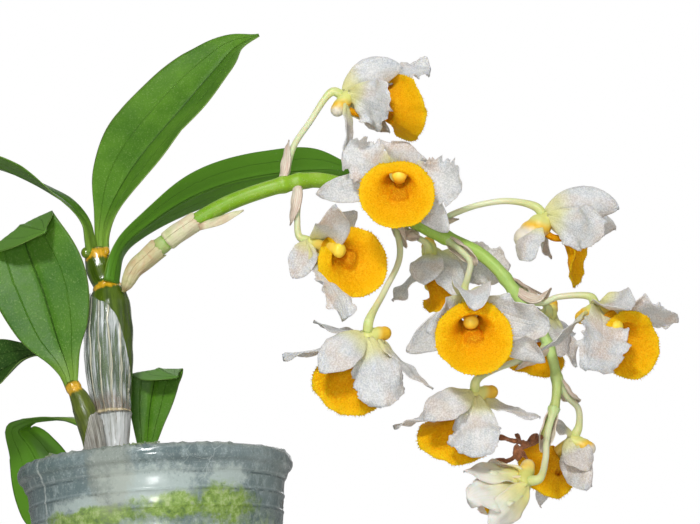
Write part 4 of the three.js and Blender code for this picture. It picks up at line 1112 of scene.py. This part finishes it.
def tepal(tip, half, bow=1, cup=0.1, twist=0, **own):
    """A petal, if it is wide enough, or else a sepal.

    tip: where it ends, from the hub. half: its half width. bow: how far its middle bulges to
    the bloom's inside. cup: how far its edges rise, per half width. twist: its turn about its
    own length, in degrees. own: what it does unlike others of its sort.
    """
    sort = PETAL if half > PETAL_LEAST_HALF else SEPAL
    return {**sort, "tip": tip, "half": half, "bow": bow, "cup": cup, "twist": math.radians(twist), **own}


class Bloom:
    """A bloom with axes of its own: to its right, up and forward.

    hub: where sepals and petals join. face: where the column points. up: away from the chin.
    leaves: share of the stem's length where its pedicel starts. via: the pedicel's way; its
    last point gives only the direction from which it comes in. dish: middle, from the hub,
    facing and radius of the lip's blade. skin, core: names of looks. chin: its scale.
    gape: how far its bract opens.
    """

    def __init__(self, hub, face, up, leaves, via, dish, skin="tepal", core="core", chin=1, gape=0.9,
                 **tepals):
        self.hub = np.array(hub, float)
        self.leaves = leaves
        self.dish = dish
        self.tepals = tepals
        self.skin = skin
        self.core = core
        self.chin = chin
        self.gape = gape
        self.forward = unit(face)
        self.up = unit(up - self.forward * (up @ self.forward))
        self.right = np.cross(self.up, self.forward)
        self.back = unit(unit(via[-1] - self.hub) * 0.4 - self.forward * 0.75 + unit(up) * 0.5)
        feet = [self.hub + self.back * (HUB_REACH + beyond) for beyond in (2.5, -1.2)]
        self.pedicel = Curve([RACHIS.at(leaves), *via[:-1], *feet])

    def placed(self, points):
        return np.asarray(points, float) @ np.stack([self.right, self.up, self.forward]) + self.hub


BLOOMS = [
    Bloom(hub=[79, -8, 231.2], face=[0.92, 0.3, -0.12], up=[0.12, 0.1, 0.98], leaves=0.315,
          core="core_white", via=[[57.7, -12, 210.9], [64.3, -10, 221], [70.5, -9, 228.5]],
          dish=([20.8, 4, -4.7], [0.8, 0.45, 0.33], 13),
          dorsal=tepal([22.1, -4, 8.5], 6.6, -3, 0.3, twist=55), left=tepal([15, -14, -12], 10.5, 2),
          right=tepal([34, 16, 15], 8.4, -3, -0.1, twist=55),
          low_left=tepal([-3, -4, -28.8], 4.6, 2, twist=40), low_right=tepal([16.3, 20, -8.5], 5, 2)),
    Bloom(hub=[95.7, -19, 196.3], face=[0.03, -0.97, -0.24], up=[0, -0.24, 0.97], leaves=0.42,
          skin="tepal_shaded_brown", via=[[84, 1, 198], [87, 3, 206], [92, -2, 204]],
          dish=([-1.2, -15, -13.7], [0.02, -0.98, 0.2], 13.5),
          dorsal=tepal([4.7, -7, 8.6], 8.5, 2, -0.2, tooth=0.36),
          left=tepal([-19.5, -8, 6.5], 9, 2, tooth=0.4), right=tepal([22.6, -5, -10.5], 9, 2, tooth=0.4),
          low_left=tepal([-30.4, 2, -5.6], 5.8, 2), low_right=tepal([17, 2, -23.8], 6, 2)),
    Bloom(hub=[62.4, -10, 174], face=[0.69, -0.62, -0.38], up=[-0.55, -0.78, 0.2], leaves=0.34,
          skin="tepal_shaded_brown", via=[[58.4, -12, 190.5], [57.6, -11, 184], [58.6, -10, 178.5]],
          dish=([14.3, -2, -9.3], [0.22, -0.97, -0.1], 13),
          dorsal=tepal([-7.5, -8, -14.9], 5.6, twist=50), left=tepal([11, -8, -31.2], 8.2),
          right=tepal([10.1, -24, 6.9], 6.6, 4, twist=-60), low_left=tepal([19, 18, -13.1], 5.5),
          low_right=tepal([17.6, 4, 11.9], 6)),
    Bloom(hub=[80.2, -18, 135.6], face=[-0.55, 0.45, -0.7], up=[-0.75, -0.6, 0.2], leaves=0.5,
          via=[[94.8, -4, 168.5], [88.1, -9, 154.3], [83.8, -13.5, 142.5]],
          dish=([-8, 10, -15.2], [-0.3, 0.85, -0.43], 13), dorsal=tepal([-17.6, -9, -13.6], 7.8, -2, 0.2),
          left=tepal([-31, 6, -4.2], 7, twist=15), right=tepal([3.4, -6, -27.2], 10, -1, 0.15, twist=45),
          low_left=tepal([-19.1, 12, 9.3], 5.6), low_right=tepal([22.2, 0, -20.7], 5)),
    Bloom(hub=[106.6, 8, 170.8], face=[0, 0.5, -0.85], up=[0, -0.85, -0.5], leaves=0.51,
          via=[[98.8, 6, 180.5], [102, 8, 177.5]], dish=([6.5, 6, -16.7], [0, 0.6, -0.8], 10),
          dorsal=tepal([-3.8, -14, -14.9], 7, -2), left=tepal([-15.6, 6, -15.1], 6.5),
          right=tepal([31, 10, -4], 9, twist=55), low_left=tepal([17.1, 18, 0.7], 6),
          low_right=tepal([8.8, -8, -18.6], 7, -2)),
    Bloom(hub=[116.7, -20, 145.1], face=[0.03, -0.78, -0.62], up=[-0.07, -0.62, 0.78], leaves=0.6,
          via=[[120.6, -4, 164.5], [119, -10, 157], [117.6, -16, 150]],
          dish=([0.7, -14, -16.7], [0.03, -0.98, 0.1], 13.5),
          dorsal=tepal([1.2, -20.5, -8], 7, -4, -0.6, blunt=0.35),
          left=tepal([-14.5, -13, -13.6], 7.5, 2), right=tepal([28.5, -7, -12.6], 8.2, 2),
          low_left=tepal([-22.6, 2, -16.4], 6.6), low_right=tepal([26.6, 3, -23.5], 6.5)),
    Bloom(hub=[149.2, 10, 143.4], face=[-0.3, 0.6, -0.75], up=[-0.2, -0.8, -0.55], leaves=0.72,
          via=[[141.3, 8, 153.5], [146, 10.5, 151]], dish=([-6.3, 6, -11.4], [-0.2, 0.75, -0.6], 12.5),
          dorsal=tepal([2, -8, -16.8], 7.5, -1, 0.2), left=tepal([-15.8, -5, -10.3], 7, -1, 0.2),
          right=tepal([8.2, -3, -20], 5.5, -1), low_left=tepal([-0.8, 16, 7.3], 5.5),
          low_right=tepal([10.6, 8, -5.2], 7)),
    Bloom(hub=[150.5, -5, 178.5], face=[0.92, 0.02, -0.38], up=[0.38, -0.18, 0.91], leaves=0.545,
          core="core_white", chin=1.6,
          via=[[111, 4, 183], [117.1, 3, 185.2], [126.6, 0, 187], [137.8, -2, 187], [145.6, -4, 184.6]],
          dish=([10.2, 7, -14.8], [0.9, -0.3, -0.3], 10.5),
          dorsal=tepal([26.4, -7, -0.5], 7, -3.5, 0.35, twist=55), left=tepal([17.4, -17, -13.1], 8.8, 2),
          right=tepal([28.5, 22, -0.6], 8), low_left=tepal([-8.6, -9, -18.4], 6.5, -3, 0.3, twist=-50),
          low_right=tepal([2.1, 11, -12.8], 6, -2, 0.3)),
    Bloom(hub=[165.7, -6, 142.4], face=[0.5, -0.6, -0.62], up=[0.6, -0.15, 0.75], leaves=0.745,
          skin="tepal_shaded_brown", gape=2.2, via=[[145, -1, 147], [152.9, -3, 148.4], [160.5, -5, 146.8]],
          dish=([9.3, -3, -15.3], [0.4, -0.9, -0.15], 12.4),
          dorsal=tepal([9.5, -15, -4.6], 7, 0, -0.6, blunt=0.35),
          left=tepal([-9.5, -26, -27.5], 10, 4, 0.15, twist=58, tooth=0.15),
          right=tepal([31, 10, -5.4], 8.2, -2, -0.1, twist=30),
          low_left=tepal([-24.5, -7, -16.9], 4, twist=-30), low_right=tepal([9.3, 10, -19], 6)),
    Bloom(hub=[117, -14, 112], face=[-0.55, 0.45, -0.7], up=[-0.7, -0.62, 0.26], leaves=0.85,
          via=[[141, -4, 126.4], [135.4, -6, 124.8], [125.7, -10, 121.5], [119.6, -13, 117.4]],
          dish=([-8.3, 10, -13.1], [-0.2, 0.75, -0.62], 12.8),
          dorsal=tepal([-19, -10, -9.3], 7.4, -2, 0.2), left=tepal([-29.5, 5, -9], 7, twist=20),
          right=tepal([-3.4, -11, -23.7], 9.8, -1, 0.15, twist=45), low_left=tepal([-8.7, 14, 5.7], 5.5),
          low_right=tepal([22.4, -4, -10.3], 6)),
    Bloom(hub=[154.4, 15, 97.3], face=[-0.8, 0.35, -0.45], up=[-0.45, 0.1, 0.88], leaves=0.9,
          core="core_white", via=[[152.6, 4, 112], [157, 10, 108], [158, 14, 102.5]],
          dish=([-9.8, 7, -8.4], [-0.45, 0.8, -0.35], 12.2), dorsal=tepal([-8.4, -1, 6.5], 7, -1),
          left=tepal([1.2, -10, -20], 6.6, twist=80), right=tepal([4.2, -9, -11.9], 6, twist=60),
          low_left=tepal([-12.2, 21, -21.9], 6, 3, twist=60),
          low_right=tepal([5.2, -1, -17.8], 4, twist=40)),
    Bloom(hub=[132.4, -12, 79.8], face=[-0.85, 0.3, -0.42], up=[0.14, -0.6, -0.72], leaves=0.95,
          core="core_pale", skin="closed", via=[[142.6, -4, 96], [141, -8, 88], [138, -11, 82.5]],
          dish=([-11.8, 6, -4.9], [-0.85, 0.3, -0.4], 9), dorsal=tepal([-14.9, -5, -15.3], 6.5, -2, 0.2),
          left=tepal([-16.5, 14, -6.5], 8.2, -2, 0.2), right=tepal([-21.4, -7, -4.9], 8.4, -2, 0.2),
          low_left=tepal([-12.5, 10, 8], 6, -1, 0.2), low_right=tepal([-21.5, -5, 4.9], 5.5, -1, 0.2)),
]


def tepal_surface(bloom, name, phase):
    facts = bloom.tepals[name]
    base, ruffle = TEPALS[name]
    root = bloom.placed(base)
    tip = bloom.hub + facts["tip"]
    along = unit(tip - root)
    inside = unit(bloom.forward - along * (bloom.forward @ along))
    middle = (root + tip) / 2 + inside * 2 * facts["bow"]
    length = np.linalg.norm(tip - root)
    seed = int(phase * 10)

    def surface(t, s):
        w = column(t)
        point = (1 - w) ** 2 * root + 2 * w * (1 - w) * middle + w * w * tip
        tangent = unit(2 * (1 - w) * (middle - root) + 2 * w * (tip - middle))
        inner = unit(inside - tangent * column(tangent @ inside))
        inner = inner * math.cos(facts["twist"]) + np.cross(tangent, inner) * math.sin(facts["twist"])
        fan = np.sin(math.pi * np.clip(t ** facts["swell"], 0, 1)) ** facts["blunt"]
        half = facts["half"] * (mix(0.14, 0.02, t) + 0.86 * fan)
        margin = np.stack([t * length, 9 * np.sign(s) + 0 * t, 0 * t], -1)
        tooth = ripple(margin, 5, seed) + 0.45 * ripple(margin, 1.8, seed + 1)
        tooth = tooth + 0.2 * ripple(margin, 0.8, seed)
        outer = np.abs(s)
        half = half * (1 + facts["tooth"] * tooth * outer**4 * ease(0.15, 0.4, t))
        flat = point + np.cross(tangent, inner) * column(s * half)
        wave = ruffle * s * s * np.sin(11 * t + 1.7 * s + phase)
        frill = facts["frill"] * outer**2.5 * ripple(flat, 8, seed + 2)
        fine = facts["fine"] * outer**4 * ripple(flat, 2.8, seed + 3)
        dent = 0.5 * ripple(flat, 9, seed + 4)
        keel = -0.3 * np.exp(-((s / 0.1) ** 2)) * ease(1, 0.4, t)
        lift = facts["cup"] * half * s * s + wave + (frill + fine) * ease(0.1, 0.35, t) + dent + keel
        return flat + inner * column(lift)

    return surface


def tepal_thickness(t, s):
    body = mix(TEPAL_ROOT_THICKNESS, TEPAL_THICKNESS, np.minimum(1, t / 0.25))
    return body * (1 - 0.5 * np.abs(s) ** 6)


def lip_surface(bloom, phase):
    """From a narrow throat to a wide round dish with teeth all round; s goes round it."""
    middle, face, radius = bloom.dish
    throat = bloom.hub + bloom.forward * LIP_THROAT_PLACE - bloom.up * 1.2
    normal = unit(face)
    upward = unit(bloom.up - normal * (bloom.up @ normal))
    sideways = np.cross(upward, normal)
    pick = np.random.default_rng(int(phase * 10))
    teeth = pick.uniform(0.1, 1.0, 2 * LIP_TEETH) * np.tile([1, 0], LIP_TEETH)

    def surface(t, s):
        angle = s * math.pi
        w = column(t)
        inner = bloom.right * column(np.sin(angle)) - bloom.up * column(np.cos(angle))
        outer = sideways * column(np.sin(angle)) - upward * column(np.cos(angle))
        notch = teeth[np.round((s + 1) * LIP_TEETH).astype(int) % (2 * LIP_TEETH)]
        rim = 0.2 * np.sin(3 * angle + phase) + 0.1 * np.sin(8 * angle - phase)
        reach = mix(LIP_THROAT_RADIUS, radius, t**1.2) + 0.5 * notch * ease(0.93, 1, t) + rim * t**3
        point = mix(throat, bloom.hub + middle, 1 - (1 - w) ** 2.6) + mix(inner, outer, w) * column(reach)
        pleat = 0.1 * t * (1 - t) * np.sin(29 * angle + phase) + 0.08 * t * np.sin(17 * angle)
        callus = 3.2 * np.exp(-(((t - 0.22) / 0.1) ** 6)) * np.exp(-((s / 0.2) ** 6))
        wave = 0.5 * t * t * np.sin(5 * angle + phase) + 0.25 * t**3 * np.sin(11 * angle)
        return point + normal * column(1.5 * t * t + wave + pleat + callus)

    return surface


def lip_fringe(surface):
    """Short hairs all along a lip's margin, each a slim three-sided spike."""
    s = draw.uniform(-1, 1, LIP_HAIRS)
    foot = surface(np.ones(LIP_HAIRS), s)
    out = unit(foot - surface(np.full(LIP_HAIRS, 0.9), s)) + draw.normal(size=(LIP_HAIRS, 3)) * 0.25
    side = unit(np.cross(out, [0.3, 0.5, 0.8]))
    other = unit(np.cross(out, side))
    rings = [foot - out * 0.35 + 0.12 * (side * math.cos(a) + other * math.sin(a)) for a in circle(3)]
    tip = foot + out * column(draw.uniform(0.3, 0.8, LIP_HAIRS))
    points = np.stack([*rings, tip], 1).reshape(-1, 3)
    spike = np.array([[0, 1, 3], [1, 2, 3], [2, 0, 3], [2, 1, 0]])
    faces = (spike + 4 * np.arange(LIP_HAIRS)[:, None, None]).reshape(-1, 3)
    return points, faces, np.repeat(np.stack([0 * s + 1, s, 0 * s + 1], -1), 4, 0)


def core_shape(bloom):
    """Hub, column with its cap, and chin, melted into one. place is in the bloom's own frame."""
    stalk = Curve([[0, 0, -1], [0, 0, 5], [0, -0.7, 9], [0, -1.9, COLUMN_LENGTH - 2]])
    parts = [ball([0, -0.8, 0], [3.2, 3.4, 2.6]),
             rod(stalk, lambda t, a: mix(1.7, 2.3, t), 12, 20),
             ball([0, -2, COLUMN_LENGTH - 1.6], [2.9, 2.8, 2.1]),
             ball([0, -4.1, COLUMN_LENGTH - 3], [2.2, 1.1, 1.4])]
    parts += [ball(np.array(place) * bloom.chin, np.array(radii) * bloom.chin) for place, radii in CHIN]
    skin, faces = melted(parts, 0.42)
    return bloom.placed(skin), faces, skin


def make_bloom(index, bloom, looks):
    number = f"{index + 1:02d}"
    node = f"bloom_{number}_tepals"
    tepals = [sheet(tepal_surface(bloom, name, index * 1.9 + k * 2.3), *bloom.tepals[name]["grid"],
                    tepal_thickness) for k, name in enumerate(TEPALS)]
    add_piece(f"tepals_{number}", joined(tepals), looks[bloom.skin], "petal", node)
    add_piece(f"column_{number}", core_shape(bloom), looks[bloom.core], "petal", node)

    surface = lip_surface(bloom, index * 1.3)
    dish = sheet(surface, 26, 2 * LIP_TEETH, lambda t, s: LIP_THICKNESS * (1 - 0.5 * t**8), ring=True)
    claw_way = Curve(bloom.placed([[0, -5.4, 1.5], [0, -6.2, 5], [0, -5, 9.2]]))
    points, faces, place = rod(claw_way, even(1.3), 14, 14)
    claw = (points, faces, np.full_like(place, 0.1))
    lip = joined([dish, claw, lip_fringe(surface)])
    add_piece(f"lip_{number}_velvet", lip, looks["lip"], "lip", f"bloom_{number}_lip")


def pedicel(bloom):
    def radius(t, a):
        flare = 0.9 * ease(5 / bloom.pedicel.length, 0, t)
        return PEDICEL_RADIUS * (1 + 0.3 * (2 * t - 1) ** 2) + flare + 0.35 * ease(0.8, 0.97, t)

    return rod(bloom.pedicel, radius, 60, 14)


def bract(index, bloom):
    """A bract that hugs the foot of its pedicel and opens a little at its tip."""
    way = bloom.pedicel
    guide = RACHIS.tangent(bloom.leaves) * (1 if index % 2 else -1)

    def surface(t, s):
        place = t * (BRACT_LENGTH / way.length)
        tangent = way.tangent(place)
        side = unit(np.cross(tangent, guide))
        turn = s * 2.1 * np.sin(math.pi * np.minimum(0.985, 0.25 + 0.74 * t)) ** 0.7
        radius = 1.75 + 0.7 * np.sin(math.pi * t) + bloom.gape * t**3 + 0.15 * np.sin(17 * t + 4 * s)
        out = np.cross(side, tangent) * column(np.cos(turn)) + side * column(np.sin(turn))
        return way.at(place) + out * column(radius)

    return sheet(surface, 26, 14, even(0.3))


def make_raceme(looks):
    """The green stem, a little thicker where each pedicel leaves it, the pedicels and bracts."""
    def stem_radius(t, a):
        radius = np.interp(t, *RACHIS_RADII.T)
        for bloom in BLOOMS:
            radius = radius + 0.45 * np.exp(-(((t - bloom.leaves) / 0.008) ** 2))
        return radius + 0.08 * np.sin(5 * a + 9 * t) * ease(0.2, 0.3, t)

    bracts = [bract(index, bloom) for index, bloom in enumerate(BLOOMS)]
    add_piece("rachis", rod(RACHIS, stem_radius, 360, 28), looks["stem"], "stem", "raceme_stem")
    add_piece("pedicels", joined([pedicel(b) for b in BLOOMS]), looks["pedicel"], "stem", "raceme_stem")
    add_piece("bracts", joined(bracts), looks["bract"], "stem", "raceme_stem")


def make_peduncle_sheath(name, start, end, swell, look):
    """A dry sheath round the stem between two shares of its length, that much thicker."""
    def surface(t, s):
        turn = s * math.radians(179) + math.radians(90)
        ragged = 0.0015 * np.sin(5 * turn) + 0.001 * np.sin(13 * turn + 1)
        place = mix(start, end + ragged, t)
        radius = (np.interp(place, *RACHIS_RADII.T) + swell) * (0.35 + 0.65 * ease(-0.02, 0.14, t))
        crease = 0.08 * np.sin(21 * turn + 3 * t) + 0.1 * np.sin(5 * turn + 9 * t)
        return around(RACHIS, np.clip(place, 0, 1), turn, radius + crease)

    add_piece(name, sheet(surface, 40, 60, even(0.28)), look, "stem", "raceme_stem")


def make_loose_bract(look):
    """The long papery scale that lies along the peduncle beyond its upper sheath."""
    way = Curve([[21, -13.4, 182.6], [26.4, -14.2, 183.8], [32, -14.9, 185.4], [38, -15, 187.4]])

    def surface(t, s):
        half = 1.9 * np.sin(math.pi * np.minimum(0.985, 0.2 + 0.8 * t)) ** 0.8
        side = unit(np.cross(way.tangent(t), [0.0, -1.0, 0.3]))
        out = np.cross(side, way.tangent(t))
        return way.at(t) + side * column(s * half) - out * column(0.9 * s * s + 0.25 * np.sin(9 * t + 3 * s))

    add_piece("peduncle_bract", sheet(surface, 40, 18, even(0.3)), look, "stem", "raceme_stem")


def scrap(index, foot, end, half):
    """A curled shred of dry skin."""
    foot, end = np.array(foot), np.array(end)
    aim = unit(end - foot)
    side = unit(np.cross(aim, [0.2, -1, 0.4]))
    out = np.cross(side, aim)

    def surface(t, s):
        width = half * np.sin(math.pi * (0.2 + 0.78 * t)) ** 0.8
        curl = 0.6 * np.sin(5 * t + index + 2 * s) + 0.7 * s * s
        return mix(foot, end, column(t)) + side * column(s * width) + out * column(curl)

    return sheet(surface, 18, 10, even(0.3))


def make_withered_buds(look):
    """Two dry stalks at the tip of the stem, each with a shrivelled bud, and loose scraps."""
    tip = RACHIS.at(1.0)
    stub = [tip - RACHIS.tangent(1.0) * 0.5, [139.2, -2.4, 95.6], [137, -3, 94.6]]
    ends = [[[133, -4, 95.2], [128, -4.4, 96.6]], [[132.5, -4.6, 92.6], [131, -5, 89.6]]]
    parts = [rod(Curve([*stub, *end]), lambda t, a: 1.1 - 0.3 * t, 30, 12) for end in ends]
    parts += [ball([131.4, -4.8, 91.4], [1.7, 1.5, 3]),
              rod(Curve([[131.5, -4.8, 91], [129, -4.4, 89.2], [126, -4, 88.8]]), even(0.8), 20, 12),
              ball([124.6, -4, 88.6], [3.4, 1.7, 1.5])]
    skin, faces = melted(parts, 0.25, 2)
    skin = skin + unit(skin - skin.mean(0)) * column(ripple(skin, 1.6, 31)) * 0.2
    bodies = (skin, faces, np.zeros_like(skin))
    add_piece("withered_bud_bodies", bodies, look, "withered_bud", "withered_buds")
    scraps = [([136, -3.6, 94.8], [139.5, -4.6, 97.6], 1.3), ([132.6, -4.4, 94.8], [131.4, -5.4, 98.2], 1.1),
              ([129, -4.6, 96.2], [124, -5, 97.4], 1.2), ([132, -4.8, 91.6], [134.8, -5.2, 88.4], 1.1),
              ([126, -4.2, 89], [121.6, -4.6, 87.4], 1.1)]
    scraps = joined([scrap(index, *facts) for index, facts in enumerate(scraps)])
    add_piece("withered_scraps", scraps, look, "withered_bud", "withered_buds")


# ------------------------------------------------------------- the whole thing
def make_floor():
    """A large pale floor that glows a little to the camera alone, so that it never looks dark."""
    look = Look("floor_pale", Roughness=0.8)
    look.tone = look.ramp(look.noise(60, 2), (0.3, "#eceae6"), (0.7, "#f0eeea"))
    glow = look.times(look.node("LightPath").outputs["Is Camera Ray"], FLOOR_GLOW)
    corners = [(x * FLOOR_HALF, y * FLOOR_HALF, FLOOR_LEVEL) for x, y in ((-1, -1), (1, -1), (1, 1), (-1, 1))]
    floor = mesh_object("floor", np.array(corners), [(0, 1, 2, 3)])
    floor.data.materials.append(look.done(Emission_Color=look.tone, Emission_Strength=glow))


def make_camera():
    data = bpy.data.cameras.new("camera")
    data.lens = CAMERA_LENS
    data.sensor_width = 36
    data.clip_start = 0.01
    camera = new_object("camera", data)
    tilt = Matrix.Rotation(math.radians(90 + CAMERA_PITCH), 4, "X")
    roll = Matrix.Rotation(math.radians(CAMERA_ROLL), 4, "Z")
    camera.matrix_world = Matrix.Translation([v * MM for v in CAMERA_PLACE]) @ tilt @ roll
    bpy.context.scene.camera = camera


def make_lamp(name, place, aim, size, power):
    data = bpy.data.lights.new(name, "AREA")
    data.size = size
    data.energy = power
    lamp = new_object(name, data)
    away = Vector(place) - Vector(aim)
    lamp.matrix_world = Matrix.Translation(place) @ away.to_track_quat("Z", "Y").to_matrix().to_4x4()


def make_surround():
    """White to the camera, and a weak white light to all else."""
    world = bpy.data.worlds.new("studio")
    world.use_nodes = True
    nodes, links = world.node_tree.nodes, world.node_tree.links
    background = nodes["Background"]
    background.inputs["Color"].default_value = (1, 1, 1, 1)
    seen = nodes.new("ShaderNodeLightPath")
    strength = nodes.new("ShaderNodeMapRange")
    strength.inputs["To Min"].default_value = SURROUND_LIGHT
    links.new(seen.outputs["Is Camera Ray"], strength.inputs["Value"])
    links.new(strength.outputs["Result"], background.inputs["Strength"])
    bpy.context.scene.world = world
    bpy.context.scene.view_settings.view_transform = "Standard"


looks = {
    "stem": stem_look(),
    "pedicel": pedicel_look(),
    "bract": papery_look("bract_pink", "#f1e9d6", "#e6bfa8", "#f0d6c6", ribs=3),
    "tepal": tepal_look("tepal_white", 0.45),
    # the same petals with more of the painted brown shade
    "tepal_shaded_brown": tepal_look("tepal_shaded_brown", 0.7),
    "closed": closed_tepal_look(),
    "core": core_look("core_yellow", "#dcdf84", "#f1bd14", 0.0),
    "core_white": core_look("core_white", "#dcdf84", "#f1c12a", 0.9),
    "core_pale": core_look("core_pale", "#cfd070", "#f0cf62", 0.3),
    "lip": lip_look(),
}
tan = husk_look("sheath_tan", "#d0c898", "#c79c74", "#b3b878")
cream = husk_look("sheath_cream", "#dcd7b2", "#d2b292", "#c0c88a")

make_camera()
make_pot(pot_look())
make_bark_core(bark_look("bark_core", "#4a3b24", "#241b10", 0.02))
make_bark_chips(bark_look("bark_chip", "#7a6240", "#3a2a18", 0.1))
make_moss(crumb_look("moss", "#9aa784", "#5c7440"))
make_bulb("bulb_main_skin", MAIN_BULB, "pseudobulb_main",
          bulb_look("bulb_olive", [(0.85, 0.022), (0.975, 0.03)], 0.395, "#5a7414", "#2f4508"))
make_bulb("bulb_small_skin", SMALL_BULB, "pseudobulb_small",
          bulb_look("bulb_small", [(0.95, 0.06)], 0.3, "#6d7d22", "#3c4a10"))
make_silver_sheath(silver_look())
make_small_sheath(papery_look("sheath_grey", "#cfcfc6", "#75695a", "#aba798", 0.8))
make_bulb_bud("bud_round", [-22.6, -3.4, 178.4], [2.0, 1.9, 2.2],
              bulb_look("bud_green", [(0.95, 0.05)], -0.1, "#7d9a2a", "#55701a"))
make_bulb_bud("bud_small", [-15.4, -2.6, 178.6], [1.5, 1.5, 1.9],
              bulb_look("bud_yellow", [(0.1, 0.2)], -0.1, "#c9b93a", "#8d8a22"))
for leaf_name, leaf_facts in LEAVES.items():
    make_leaf(leaf_name, leaf_facts)
make_raceme(looks)
make_peduncle_sheath("peduncle_sheath_low", 0.0, 0.092, 0.6, tan)
make_peduncle_sheath("peduncle_sheath_high", 0.102, 0.166, 0.45, cream)
make_loose_bract(cream)
make_withered_buds(crumb_look("withered", "#b5764e", "#5c3418"))
for bloom_index, bloom_facts in enumerate(BLOOMS):
    make_bloom(bloom_index, bloom_facts, looks)
make_floor()
for lamp_name, lamp_facts in LAMPS.items():
    make_lamp(lamp_name, *lamp_facts)
make_surround()
